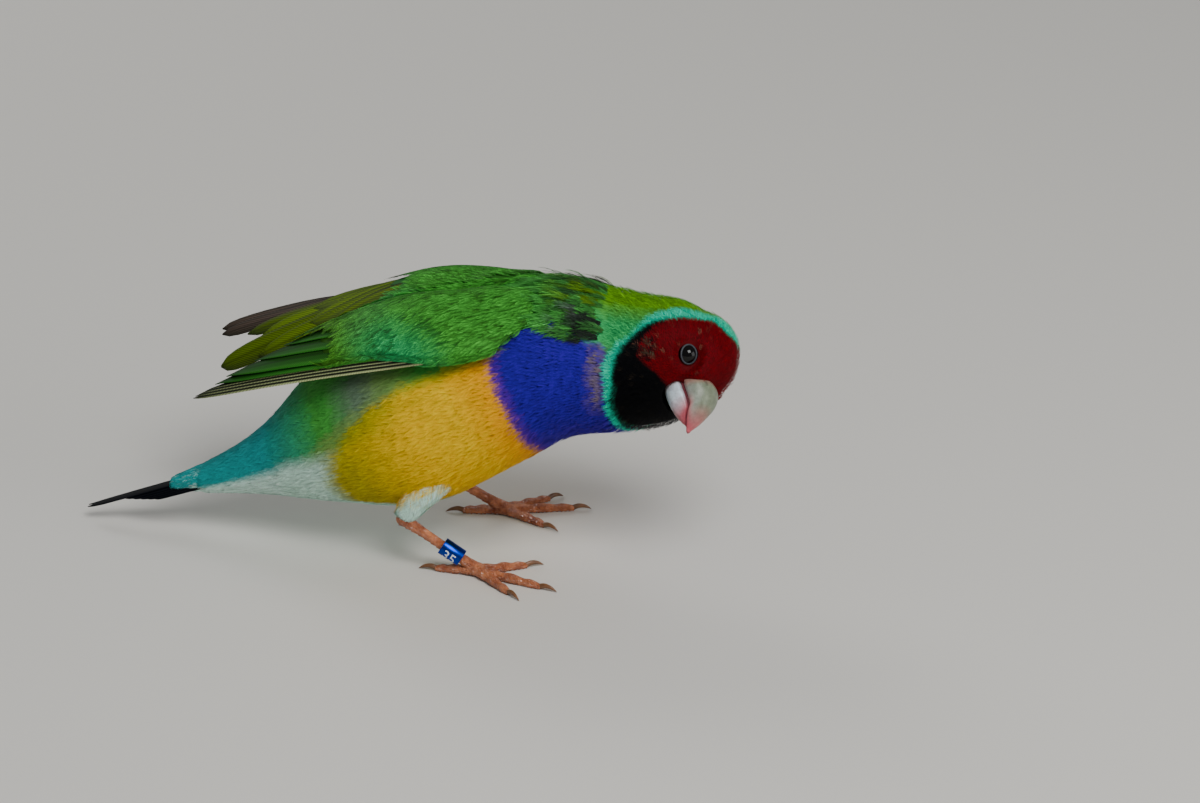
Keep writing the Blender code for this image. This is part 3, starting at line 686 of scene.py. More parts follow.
def flecked(points, grain):
    """The markings of the head, with a few worn feathers, most on the mask, that show their pale bases."""
    ahead, up, _ = in_head_frame(points)
    on_mask = edge(inside(ahead, up, MASK_EDGE)[0], 0.2)
    return mixed(plumage(points, grain), FLECK, edge(grain - 0.85, 0.08) * (0.05 + on_mask * 0.3))


roots, normals = rooted(body_ground, keep_head, 0.36, 120000)
size = np.interp(np.linalg.norm(roots - BILL_ROOT, axis=1), (5, 11, 19), (0.9, 1.3, 2.2))
size = size * luck.normal(1, 0.1, len(roots))
rise = coat_depth(roots) * luck.normal(1, 0.2, len(roots))
tufted(
    "coat_head", body_ground, roots, normals, size, 0.3, rise, 8,
    (0.6, 0.95, 1.15), flecked, 0.1, 0.26,
)


def keep_ear(spots, normal):
    """The ear coverts, where the feathers of the cheek are parted and stand up, on both sides."""
    ahead, up, right = in_head_frame(spots)
    return np.hypot(ahead - EAR[0], up - EAR[1]) < np.where(abs(right) > 6, 1.9, 0)


def ear_colour(points, grain):
    """Grey-brown bases, black tips and a little of the red."""
    tone = mixed(flat(FLECK * 0.25, points), BLACK, edge(grain + 0.1, 0.15))
    return mixed(tone, RED, edge(-0.35 - grain, 0.1) * 0.35)


roots, normals = rooted(body_ground, keep_ear, 0.7, 60000)
size = luck.normal(2.3, 0.3, len(roots))
rise = np.abs(luck.normal(1.0, 0.3, len(roots)))
tufted(
    "coat_ear", body_ground, roots, normals, size, 0.3, rise, 12,
    (0.6, 0.95, 1.3), ear_colour, 0.2, 0.4,
)


# Wings, folded along the back: an arm under green coverts, with the flight feathers coming out
# from under them to the tip. The near one is green with pale edges along its lower side. Each has
# a lower and an upper edge through the wrist, the arm and the hand to the tip.
WING_EDGES = {
    "right": (
        (
            (14.5, -12.8, 52.4), (3.0, -18.0, 50.0), (-9.5, -18.4, 47.3),
            (-24.0, -16.2, 43.4), (-40.0, -13.0, 38.4), (-57.9, -10.0, 32.5),
        ),
        (
            (13.5, -4.0, 56.0), (3.0, -2.0, 55.6), (-9.5, -1.0, 54.4),
            (-22.0, -0.7, 51.1), (-38.0, -3.0, 43.3), (-56.8, -8.9, 33.1),
        ),
    ),
    "left": (
        (
            (14.5, 12.8, 52.4), (3.0, 18.0, 50.0), (-9.5, 18.4, 47.9),
            (-22.0, 17.2, 46.8), (-38.0, 15.7, 44.6), (-56.6, 14.0, 39.4),
        ),
        (
            (13.5, 4.0, 56.0), (3.0, 2.0, 55.6), (-9.5, 0.8, 54.2),
            (-22.0, 0.5, 50.0), (-38.2, 0.3, 39.6), (-54.8, 3.2, 30.9),
        ),
    ),
}
WING_BULGE = np.array((0.9, 1.6, 2.2, 2.2, 1.4, 0.2))


def curve(stations, t):
    """A smooth curve through the stations, read at each t, one whole number to a station."""
    p = np.asarray(stations, float).reshape(len(stations), -1)
    t = np.clip(np.asarray(t, float), 0, len(p) - 1.0001)
    i = t.astype(int)
    f = (t - i)[..., None]
    a, b = p[np.maximum(i - 1, 0)], p[i]
    c, d = p[i + 1], p[np.minimum(i + 2, len(p) - 1)]
    return 0.5 * (2 * b + (c - a) * f + (2 * a - 5 * b + 4 * c - d) * f**2 + (3 * b - a - 3 * c + d) * f**3)


def off_trunk(points, clear):
    """Points moved out across the spine until they are clear of the trunk by that much."""
    middle, wide, deep, level = (
        np.interp(points[..., 0], along, part) for part in (height, half_width, half_depth, spine_way[:, 0])
    )
    reach = np.hypot(points[..., 1] / (wide + clear), (points[..., 2] - middle) / (deep / level + clear))
    reach = np.where(points[..., 0] < SPINE[0, 0], 1, np.minimum(reach, 1))[..., None]
    core = np.stack((points[..., 0], 0 * middle, middle), -1)
    return core + (points - core) / reach


def wing_width(side, t):
    """How wide a wing is at each place along it."""
    low, high = WING_EDGES[side]
    return np.linalg.norm(curve(high, t) - curve(low, t), axis=-1)


def on_wing(side, t, inward, over):
    """Points over a wing's surface, so far in from its lower edge and so high, and the way out of it."""
    low, high = WING_EDGES[side]
    a = curve(low, t)
    span = curve(high, t) - a
    width = np.linalg.norm(span, axis=-1)[..., None]
    ahead = curve(low, t + 0.1) - curve(low, t - 0.1)
    out = unit(np.cross(span, ahead) * (1 if side == "right" else -1))
    inward = np.asarray(inward, float)[..., None]
    share = np.clip(inward / width, 0, 1)
    point = a + span / width * inward + out * curve(WING_BULGE, t) * 4 * share * (1 - share)
    over = np.asarray(over, float)[..., None] + 0 * width
    return off_trunk(point + out * over, over[..., 0]), out


def loft(rings):
    """A closed form through rings of points, in the bird's millimetres."""
    bm = bmesh.new()
    before = None
    for ring in rings:
        verts = [bm.verts.new(metres(p)) for p in ring]
        edges = [bm.edges.new(pair) for pair in zip(verts, verts[1:] + verts[:1])]
        if before:
            bmesh.ops.bridge_loops(bm, edges=before + edges)
        before = edges
    bmesh.ops.holes_fill(bm, edges=bm.edges)
    bmesh.ops.recalc_face_normals(bm, faces=bm.faces)
    return bm


# Flight feathers: stiff vanes with a dark shaft and a rim of another shade at one edge. Barbs run
# from the shaft to the edge as a wave in the material, wider apart than real ones, so that they show.
flight, tree, shader = material("flight_feather_keratin", Roughness=0.6, Specular_IOR_Level=0.05)
vane_map = add(tree, "UVMap", uv_map="vane").outputs["UV"]
waves = {"bands_direction": "DIAGONAL", "Scale": 1.0, "Distortion": 1.2, "Detail": 2.0}
barbs = add(tree, "TexWave", {"Vector": vane_map}, **waves).outputs["Fac"]
tone = tinted(tree, plumage_paint(tree), barbs, To_Min=0.62, To_Max=1.2)
surface(tree, shader, tone, barbs, 0.25, 0.00004)

# A vane's half width along it, as a share of its widest, its thickness and how far it arches.
VANE_SHAPE = np.array((
    (0.0, 0.8), (0.2, 1.0), (0.6, 1.0), (0.86, 0.88), (0.94, 0.66), (0.98, 0.38), (1.0, 0.08),
))
VANE_THICK = 0.14
VANE_CROWN = 0.12


def vane(centre, across, out, half, colour):
    """A feather's vane as a thin closed sheet: its points, faces, colours and flat map."""
    rows, columns = len(centre), 9
    share = np.linspace(-1, 1, columns)
    t = np.linspace(0, 1, rows)
    wide = half * np.interp(t, *VANE_SHAPE.T)
    crown = (1 - share**2) * VANE_CROWN
    aside = across[:, None] * (wide[:, None] * share)[..., None]
    top = centre[:, None] + aside + out[:, None] * crown[:, None]
    bottom = top - out[:, None] * VANE_THICK * np.interp(t, (0, 0.9, 1), (1, 0.8, 0.3))[:, None, None]
    points = np.concatenate((top.reshape(-1, 3), bottom.reshape(-1, 3)))
    index = np.arange(rows * columns).reshape(rows, columns)
    a, b, c, d = index[:-1, :-1], index[1:, :-1], index[1:, 1:], index[:-1, 1:]
    upper = np.stack((a, b, c, d), -1).reshape(-1, 4)
    lower = upper[:, ::-1] + rows * columns
    rim = np.concatenate((index[0, :], index[1:, -1], index[-1, -2::-1], index[-2:0:-1, 0]))
    follow = np.roll(rim, -1)
    walls = np.stack((rim, follow, follow + rows * columns, rim + rows * columns), -1)
    tone = colour(np.repeat(t, columns), np.tile(share, rows))
    length = np.linalg.norm(centre[-1] - centre[0])
    spread = np.stack((np.tile(share, rows) * half, np.repeat(t, columns) * length), 1)
    return points, np.concatenate((upper, lower, walls)), np.tile(tone, (2, 1)), np.tile(spread, (2, 1))


def vaned(name, vanes):
    """One piece from many vanes, with their colours and the flat map that their barbs follow."""
    points, faces, colours, maps = zip(*vanes)
    starts = np.cumsum([0] + [len(p) for p in points[:-1]])
    faces = np.concatenate([f + start for f, start in zip(faces, starts)])
    mesh = bpy.data.meshes.new(name)
    mesh.from_pydata(metres(np.concatenate(points)).tolist(), [], faces.tolist())
    painted(mesh, np.clip(np.concatenate(colours), 0, 1))
    layer = mesh.uv_layers.new(name="vane")
    layer.data.foreach_set("uv", np.concatenate(maps)[faces.ravel()].astype(np.float32).ravel())
    bm = bmesh.new()
    bm.from_mesh(mesh)
    bmesh.ops.recalc_face_normals(bm, faces=bm.faces)
    bm.to_mesh(mesh)
    bm.free()
    return finished(mesh, flight)


OLIVE_GREEN, PALE_EDGE, DARK_WEB = linear("526a06"), linear("bcc68c"), linear("1e221a")
WING_GREEN, WING_TEAL, SHAFT = linear("429834"), linear("28a868"), linear("1a1a14")
GREY_WEB, DEEP_GREEN = linear("4c4038"), linear("1c4208")


def flight_colour(web, rim):
    """A flight feather's colours: a web and a rim as given, a dark inner web and a dark shaft."""
    def colour(t, across):
        tone = mixed(flat(web, t), DARK_WEB, edge(across - 0.3, 0.3) * 0.6)
        fade = np.interp(t, (0, 0.25, 0.6, 0.9, 1), (0.5, 1, 0.9, 0.4, 0.1))
        tone = mixed(tone, rim, edge(-0.72 - across, 0.08) * fade)
        tone = mixed(tone, DARK_WEB, edge(t - 0.95, 0.05) * 0.4)
        return mixed(tone, SHAFT, edge(0.05 - abs(across), 0.05) * 0.5)

    return colour


# Tiers of flight feathers on each wing: how many, the first one's place in from the lower edge,
# how far apart, half width, root and tip along the wing, how high they lie over the back, their
# web and their rim.
FLIGHTS = {
    "right": (
        (4, 0.35, 0.6, 0.75, 2.0, 5.0, 0.2, DARK_WEB, PALE_EDGE),
        (4, 3.2, 1.7, 1.9, 1.8, 5.0, 0.5, WING_GREEN * 0.22, WING_GREEN * 0.7),
        (3, 4.4, 2.9, 2.4, 1.7, 4.7, 0.9, WING_GREEN * 0.3, WING_GREEN * 0.7),
    ),
    "left": (
        (2, 1.7, 1.3, 1.9, 1.6, 5.0, 0.2, GREY_WEB, DARK_WEB),
        (1, 5.4, 1.0, 2.4, 1.7, 4.62, 0.45, OLIVE_GREEN * 0.7, GREY_WEB),
        (1, 10.6, 1.0, 3.0, 1.7, 5.0, 0.6, OLIVE_GREEN, OLIVE_GREEN * 0.6),
        (2, 8.0, 4.6, 3.0, 1.7, 4.45, 0.85, OLIVE_GREEN * 1.2, OLIVE_GREEN * 0.6),
        (2, 6.2, 4.6, 3.0, 1.7, 3.9, 1.05, OLIVE_GREEN * 1.3, OLIVE_GREEN * 0.7),
        (1, 14.4, 1.0, 2.2, 1.7, 3.6, 1.25, OLIVE_GREEN, DARK_WEB),
    ),
}
TURN = 0.12  # radians that each vane leans over the next
BESIDE = 0.6  # how far to each side of a shaft the wing's slope is taken


def wing_vanes(side):
    """All the flight feathers of one wing."""
    vanes = []
    for count, first, pitch, half, root, end, over, web, rim in FLIGHTS[side]:
        for i in range(count):
            inward = first + pitch * i
            if inward + half > wing_width(side, root) - 0.5:
                break
            steps = np.linspace(root + 0.8, end, 200)
            room = steps[wing_width(side, steps) > inward + 0.15]
            tip = room[-1] if len(room) else root + 1.2
            t = root + (tip - root) * np.linspace(0, 1, 26) ** 0.95
            rise = over * np.linspace(0.6, 1, len(t))
            centre, out = on_wing(side, t, inward + 0 * t, rise)
            outer, _ = on_wing(side, t, inward + BESIDE + 0 * t, rise)
            inner, _ = on_wing(side, t, inward - BESIDE + 0 * t, rise)
            across = unit(outer - inner)
            lean = across * math.cos(TURN) - out * math.sin(TURN)
            upward = out * math.cos(TURN) + across * math.sin(TURN)
            tint = 1 + luck.normal(0, 0.06)
            vanes.append(vane(centre, lean, upward, half, flight_colour(web * tint, rim)))
    return vanes


def wing_way(side):
    """Which way coverts lie on a wing: back from the wrist to the tip and a little down."""
    low, high = WING_EDGES[side]
    back = (curve(low, 3.5) + curve(high, 3.5) - curve(low, 0.5) - curve(high, 0.5)).ravel()
    back /= np.linalg.norm(back)
    down = (curve(low, 2) - curve(high, 2)).ravel()
    back += down / np.linalg.norm(down) * 0.5
    return back / np.linalg.norm(back)


def covert_colour(points, grain):
    """Green coverts with a teal patch in their middle, olive where they end, some of them deep green."""
    spot = np.hypot((points[:, 0] + 16) / 9, (points[:, 2] - 49) / 4)
    tone = mixed(flat(WING_GREEN, points), WING_TEAL, edge(1 - spot + grain * 0.3, 0.5) * 0.7)
    tone = mixed(tone, OLIVE_GREEN, edge(-24 - points[:, 0] + grain * 3, 8) * 0.5)
    return mixed(tone, DEEP_GREEN, edge(grain - 0.2, 0.4) * 0.6)


ARM_TOP = np.array((-1.0, 1.3, 2.4, 1.5, 1.2, 1.0))
# Where the coverts end along the wing, for each share of its width in from the lower edge.
COVERTS_END = {
    "right": ((0.0, 3.1), (0.12, 3.4), (0.4, 3.5), (0.7, 3.6), (1.0, 3.7)),
    "left": ((0.0, 3.1), (0.12, 3.4), (0.4, 3.2), (0.7, 2.75), (1.0, 2.6)),
}
WHOLE_WING = ((0.0, 4.6), (1.0, 4.6))


def arm_rings(side, ends):
    """Rings along a wing as far as the place that ends gives for each share of the wing's width."""
    share = np.linspace(0, 1, 21)
    first = np.interp(share, (0, 0.3, 0.5, 1), (0.85, 0.5, 0.25, 0.25))
    last = np.interp(share, *zip(*ends))
    rings = []
    for part in np.linspace(0, 1, 44):
        t = first + part * (last - first)
        bare = np.interp(t, (1.9, 2.8), (0, 0.14 if side == "right" else 0))
        inward = (bare + (1 - bare) * share) * wing_width(side, t)
        over = curve(ARM_TOP, t)[:, 0] * np.minimum(1, 0.45 + 3 * np.minimum(share, 1 - share))
        over = over * np.interp(part, (0.75, 1), (1, 0.7))
        top, _ = on_wing(side, t, inward, over)
        under, _ = on_wing(side, t, inward, over - np.interp(part, (0, 0.1, 0.6, 1), (0.1, 1.2, 1.0, 0.08)))
        rings.append(np.concatenate((top, under[::-1])))
    return rings


for side in ("right", "left"):
    arm = shown("wing_arm_" + side, loft(arm_rings(side, COVERTS_END[side])), feather)
    undercoat(arm.data, covert_colour, 0.4)
    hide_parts("wing_" + side)
    vaned("wing_flights_" + side, wing_vanes(side))
    mesh = meshed("back", loft(arm_rings(side, WHOLE_WING)))
    land = ground(mesh, combed(wing_way(side)))
    bpy.data.meshes.remove(mesh)
    arm_tree = ground(arm.data, None)[1]

    def keep(spots, normal, side=side, arm_tree=arm_tree):
        outward = (normal[:, 2] > 0.1) | (normal[:, 1] * (-1 if side == "right" else 1) > 0.3)
        if side == "left":
            outward &= (spots[:, 0] > -13.5) | (spots[:, 2] < 49.5) | (normal[:, 1] < 0.35)
        return outward & (np.array([arm_tree.find_nearest(Vector(p))[3] for p in spots]) < 0.15)

    roots, normals = rooted(land, keep, 0.72, 60000)
    size = np.interp(roots[:, 0], (-34, -20, -5, 14), (8.0, 6.5, 4.6, 3.2)) * luck.normal(1, 0.1, len(roots))
    tufted(
        "wing_coverts_" + side, land, roots, normals, size, 0.19, 0.5, 44,
        (0.5, 0.95, 1.6), covert_colour, 0.08, 0.4, 0.62,
    )


def rings_along(centres, wide, deep, side, sides=20, plates=0.0, count=0):
    """Rings of that half width and half height round a line of centres, with raised plates on top."""
    centres = np.asarray(centres, float)
    way = unit(np.gradient(centres, axis=0))
    across = unit(side - way * (way @ side)[:, None])
    upward = np.cross(across, way)
    turn = np.linspace(0, 2 * math.pi, sides, endpoint=False)
    rings = []
    for i, centre in enumerate(centres):
        saw = 1 - (i / (len(centres) - 1) * count) % 1
        swell = 1 + plates * saw * np.maximum(0, np.sin(turn))
        aside = across[i] * (wide[i] * swell * np.cos(turn))[:, None]
        rings.append(centre + aside + upward[i] * (deep[i] * swell * np.sin(turn))[:, None])
    return rings


# Tail: twelve stiff black feathers folded into one narrow wedge, the middle pair long and
# drawn out to a point over the others, which end in steps below it. Each pair has a length, a
# half width and a distance from the middle.
TAIL_ROOT = np.array((-59.5, 0.0, 10.5))
TAIL_SLOPE = math.radians(19.5)
tail_way = np.array((-math.cos(TAIL_SLOPE), 0.0, -math.sin(TAIL_SLOPE)))
tail_up = np.array((-math.sin(TAIL_SLOPE), 0.0, math.cos(TAIL_SLOPE)))
TAIL_PAIRS = (
    (27.4, 0.9, 0.75), (19.0, 1.2, 1.0), (17.5, 1.35, 1.35),
    (16.0, 1.4, 1.7), (14.5, 1.4, 2.0), (13.0, 1.4, 2.3),
)
TAIL_BLACK, TAIL_SHEEN = linear("06070b"), linear("181c22")


def tail_colour(t, across):
    """Black with a greyer edge, a painted sheen, and a darker shaft."""
    tone = mixed(flat(TAIL_BLACK, t), TAIL_SHEEN, edge(abs(across) - 0.8, 0.15) * 0.7)
    return mixed(tone, SHAFT * 0.4, edge(0.05 - abs(across), 0.05) * 0.6)


vanes = []
for number, (length, half, off) in enumerate(TAIL_PAIRS):
    for way in (-1, 1):
        t = np.linspace(0, 1, 24)
        centre = TAIL_ROOT + tail_way * (length * t - 3.0)[:, None] + tail_up * (0.9 - 0.3 * number)
        centre = centre + tail_up * (-0.3 * t**2)[:, None]
        centre[:, 1] += way * off * (1 - 0.35 * t) + way * 0.02
        across = unit(flat(ACROSS, t) + tail_up * -0.12 * way)
        upward = np.cross(flat(tail_way, t), across)
        upward *= np.sign(upward @ tail_up)[:, None]
        vanes.append(vane(centre, across, upward, half, tail_colour))
tail = vaned("tail_feathers", vanes)
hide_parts("tail")


# Tail coverts: the rump's last feathers taper over the root of the tail, blue-green with pale
# tips above and bluish white below.
def tail_covert_colour(points, grain):
    """Blue-green above, white below, like the rump in front of them."""
    above = (points - TAIL_ROOT) @ tail_up
    tone = mixed(flat(TEAL, points), WHITE, edge(-0.4 - above + grain, 0.4))
    return mixed(tone, WHITE, edge(grain - 0.5, 0.2) * 0.4)


t = np.linspace(-6, 5.5, 24)
lift, wide, deep = (
    np.interp(t, (-6, 0, 5.5), sizes) for sizes in ((0.2, 0.1, 0.6), (3.6, 2.9, 1.6), (2.7, 2.2, 0.9))
)
centres = TAIL_ROOT + tail_way * t[:, None] + tail_up * lift[:, None]
root = shown("tail_root", loft(rings_along(centres, wide, deep, ACROSS, 28)), feather)
undercoat(root.data, tail_covert_colour, 0.6)
land = ground(root.data, combed(tail_way))
roots, normals = rooted(land, lambda spots, normal: normal @ tail_way < 0.8, 0.6, 12000)
size = luck.normal(4.2, 0.4, len(roots))
tufted(
    "coat_tail_root", land, roots, normals, size, 0.24, 0.3, 22,
    (0.6, 0.97, 1.5), tail_covert_colour, 0.05, 0.14,
)


# Bill: two closed mandibles of ivory horn, blushing pink to the tips and along the cutting edge,
# with the nostrils at the root and a pink lining between them. The lines give a height or a half
# width for each place along the bill.
CULMEN = (
    (3.0, -0.4), (5.0, 0.9), (6.6, 2.0), (8.2, 2.3), (10.4, 1.5), (12.6, -0.5), (14.3, -2.7), (15.4, -4.8),
)
MOUTH = ((3.0, -3.1), (6.0, -3.3), (9.0, -3.1), (11.0, -3.3), (12.3, -4.3), (13.6, -4.9), (15.4, -5.5))
JAW = ((3.0, -7.2), (5.2, -7.7), (7.8, -7.5), (10.4, -6.9), (12.6, -6.0), (13.8, -5.4))
UPPER_HALF = ((3.0, 3.0), (5.5, 3.9), (7.2, 4.35), (8.6, 4.1), (11.0, 3.1), (13.6, 1.7), (15.4, 0.45))
LOWER_HALF = ((3.0, 3.8), (5.5, 3.9), (8.0, 3.5), (10.6, 2.5), (12.6, 1.3), (13.8, 0.5))
IVORY, BLUSH, GUM, CERE = linear("a6aca4"), linear("c4505c"), linear("a04450"), linear("a8786a")
PEARL, SHADED_HORN = linear("dce8f0"), linear("747e64")
NOSTRILS = [in_head(8.0, 1.6, 2.99 * side) for side in (-1, 1)]
NOSTRIL_RADIUS = 0.6
NOSTRIL_SINK = 0.0012  # metres that the horn sinks for each millimetre inside a nostril's edge
PIT_SHADE_RADIUS = 0.5  # where the painted shade in a nostril's pit ends


def line(points, at):
    """Reads a smooth line through (along, value) points."""
    points = np.array(points)
    knots = np.interp(at, points[:, 0], np.arange(len(points)))
    return curve(points[:, 1:], knots)[..., 0]


def mandible(start, end, top, top_over, bottom, bottom_over, half, seat, sides=44, steps=44):
    """A mandible between its top and bottom lines, moved up by that much, and widest at seat, a share
    of the way up it."""
    turn = np.linspace(0, 2 * math.pi, sides, endpoint=False)
    c, s = np.cos(turn), np.sin(turn)
    bend = np.where((s > 0) == (seat < 0.5), 0.95, 0.6)
    rings = []
    for a in np.linspace(0, 1, steps):
        a = start + (end - start) * (1 - (1 - a) ** 1.4)
        upper, lower = line(top, a) + top_over, line(bottom, a) + bottom_over
        out = line(half, a) * np.sign(c) * abs(c) ** 0.85
        reach = (upper - lower) * np.where(s > 0, 1 - seat, seat)
        rise = lower + (upper - lower) * seat + reach * np.sign(s) * abs(s) ** bend
        rings.append(in_head(a, rise[:, None], out[:, None]))
    return loft(rings)


def bill_colour(points):
    """Ivory, pink at the tips, redder along the mouth, and fleshy where the face begins."""
    ahead, up, _ = in_head_frame(points)
    mouth = up - line(MOUTH, np.clip(ahead, 3, 15.4))
    # Darker grey-green away from the mouth: painted shade of the upper mandible's top.
    tone = mixed(flat(IVORY, points), SHADED_HORN, edge(mouth - 1.7, 1.4) * 0.9)
    tone = mixed(tone, PEARL, edge(-0.2 - mouth, 0.2))
    tone = mixed(tone, BLUSH, edge(ahead - np.where(mouth > 0, 13.4, 10.2), 1.8) * 0.9)
    tone = mixed(tone, BLUSH, edge(1.1 - abs(mouth), 0.6) * edge(ahead - 10.0, 1.2) * 0.8)
    tone = mixed(tone, GUM, edge(0.4 - abs(mouth), 0.35) * edge(ahead - 6.5, 2.5) * 0.7)
    return mixed(tone, CERE, edge(np.where(mouth > 0, 7.6, 5.8) - ahead, 0.6) * 0.8)


horn, tree, shader = material(
    "bill_horn", Roughness=0.33, Subsurface_Weight=0.12,
    Subsurface_Radius=(0.0012, 0.0006, 0.0004), Subsurface_Scale=1.0,
)
grain = pattern(tree, "TexNoise", "Fac", Scale=650.0, Detail=6.0, Roughness=0.7)
tone = tinted(tree, plumage_paint(tree), grain, From_Min=0.35, From_Max=0.65, To_Min=0.68, To_Max=1.12)
surface(tree, shader, tone, grain, 0.5, 0.0002)

for half, start, end, top, top_over, bottom, bottom_over, widths, seat in (
    ("upper", 3.6, 15.4, CULMEN, 0.0, MOUTH, 0.04, UPPER_HALF, 0.28),
    ("lower", 3.6, 13.8, MOUTH, -0.1, JAW, 0.0, LOWER_HALF, 0.75),
):
    bm = mandible(start, end, top, top_over, bottom, bottom_over, widths, seat)
    holes = list(zip(NOSTRILS, (-1, 1))) if half == "upper" else []
    for nostril, side in holes:
        for vert in bm.verts:
            far = (vert.co - Vector(metres(nostril))).length * 1000
            if far < NOSTRIL_RADIUS:
                vert.co += Vector(RIGHT_WAY * -side * (NOSTRIL_RADIUS - far) * NOSTRIL_SINK)
    piece = shown("bill_%s_horn" % half, bm, horn)
    points = millimetres(vertices(piece.data))
    tone = bill_colour(points)
    # The nostrils' pits are painted dark: painted shade inside the openings.
    for nostril, _ in holes:
        tone = mixed(tone, SHAFT * 0.3, edge(PIT_SHADE_RADIUS - np.linalg.norm(points - nostril, axis=1), 0.12))
    painted(piece.data, tone)
    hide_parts("bill_" + half)
lining_half = [(a, wide * 0.84) for a, wide in LOWER_HALF]
lining = mandible(3.4, 13.0, MOUTH, 0.5, MOUTH, -0.6, lining_half, 0.5, 16, 12)
piece = shown("bill_lining", lining, horn)
painted(piece.data, flat(GUM * 0.7, piece.data.vertices))


# Eyes: wet brown-black balls in a beaded ring of bare dark grey skin that the lids leave open.
eye_paint, _, _ = material("wet_eye", "060404", Roughness=0.06, Specular_IOR_Level=0.3)
lid_paint, tree, shader = material("bare_lid_skin", Roughness=0.5)
beads = pattern(tree, "TexVoronoi", "Distance", Scale=3600.0)
base = add(tree, "RGB").outputs[0]
base.default_value = (*linear("34383f"), 1)
surface(tree, shader, tinted(tree, base, beads, To_Min=1.25, To_Max=0.5), beads, 0.5, 0.0001)
LID_WIDTH, LID_HEIGHT, LID_OVER, LID_SIDES = 0.19, 0.2, 0.08, 12
for name, side in (("right", 1), ("left", -1)):
    centre, facing, tall, wide = eye_frame(side)
    bm = bmesh.new()
    bmesh.ops.create_uvsphere(bm, u_segments=48, v_segments=32, radius=EYE_RADIUS / 1000)
    bmesh.ops.translate(bm, verts=bm.verts, vec=metres(centre))
    ball = shown("eyeball_" + name, bm, eye_paint)
    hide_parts("eye_" + name)
    bm = bmesh.new()
    verts = []
    for a in np.linspace(0, 2 * math.pi, 72, endpoint=False):
        aside = wide * (LID_WIDE * math.cos(a)) + tall * (LID_TALL * math.sin(a))
        reach = np.linalg.norm(aside)
        hub = centre + aside + facing * (math.sqrt(EYE_RADIUS**2 - reach**2) + LID_OVER)
        b = np.linspace(0, 2 * math.pi, LID_SIDES, endpoint=False)
        outward = aside / reach * (LID_WIDTH * np.cos(b))[:, None]
        ring = hub + outward + facing * (LID_HEIGHT * np.sin(b))[:, None]
        verts.append([bm.verts.new(metres(p)) for p in ring])
    for one, two in zip(verts, verts[1:] + verts[:1]):
        for j in range(LID_SIDES):
            bm.faces.new((one[j], one[j - 1], two[j - 1], two[j]))
    bmesh.ops.recalc_face_normals(bm, faces=bm.faces)
    shown("eye_ring_" + name, bm, lid_paint)


# Legs: bare shanks and toes in overlapping horny plates, orange-pink and a little shiny, with
# soft pads below. Both feet stand level on the floor.
leg_skin, tree, shader = material(
    "scaled_leg_skin", Roughness=0.2, Specular_IOR_Level=0.8, Subsurface_Weight=0.1,
    Subsurface_Radius=(0.0012, 0.0005, 0.0003), Subsurface_Scale=1.0,
)
blotch = pattern(tree, "TexNoise", "Fac", Scale=420.0, Detail=5.0, Roughness=0.65)
cells = pattern(tree, "TexVoronoi", "Distance", Scale=2400.0, feature="DISTANCE_TO_EDGE")
surface(tree, shader, ramped(tree, blotch, "7e3418", "dc8a5c", 0.3, 0.68), cells, 1.0, 0.0005)
claw_horn, tree, shader = material("claw_horn", Roughness=0.3)
streak = pattern(tree, "TexNoise", "Fac", Scale=700.0, Detail=3.0)
surface(tree, shader, ramped(tree, streak, "3a2112", "9a6a45"))

# Each toe's name, heading and length, and along it the half width and half height, with pads.
TOES = (("hind", 180.0, 8.6), ("inner", -34.0, 10.4), ("middle", 12.0, 14.2), ("outer", 40.0, 11.0))
TOE_MARKS = np.array((
    (0.0, 1.25, 1.0), (0.2, 1.35, 0.95), (0.38, 1.0, 0.78), (0.52, 1.15, 0.9),
    (0.72, 0.85, 0.72), (0.84, 0.92, 0.78), (1.0, 0.62, 0.56),
))
SHANK_MARKS = np.array(((0.0, 1.4), (0.12, 1.15), (0.3, 0.95), (0.75, 0.95), (0.9, 1.1), (1.0, 1.3)))
HEEL_RADIUS = 1.45
PALM = (1.75, 1.7, 1.35)
# A claw's middle line, ahead and up from the toe's tip, and its half thickness.
CLAW_ARC = np.array(((0.0, 0.0), (1.3, 0.4), (2.7, 0.2), (3.9, -0.42)))
CLAW_THICK = np.array((0.52, 0.46, 0.32, 0.05))
# Each leg's name, side, heel, foot and the degrees that the foot turns out.
LEGS = (
    ("left", 1, (-14.5, 12.6, 11.3), (1.0, 14.7, 1.4), 4.0),
    ("right", -1, (-15.4, -13.0, 11.1), (0.2, -14.4, 1.4), -6.0),
)


def shank_line(heel, foot):
    """A leg's heel and foot as arrays, and the way from one to the other."""
    heel, foot = np.array(heel), np.array(foot)
    return heel, foot, (foot - heel) / np.linalg.norm(foot - heel)


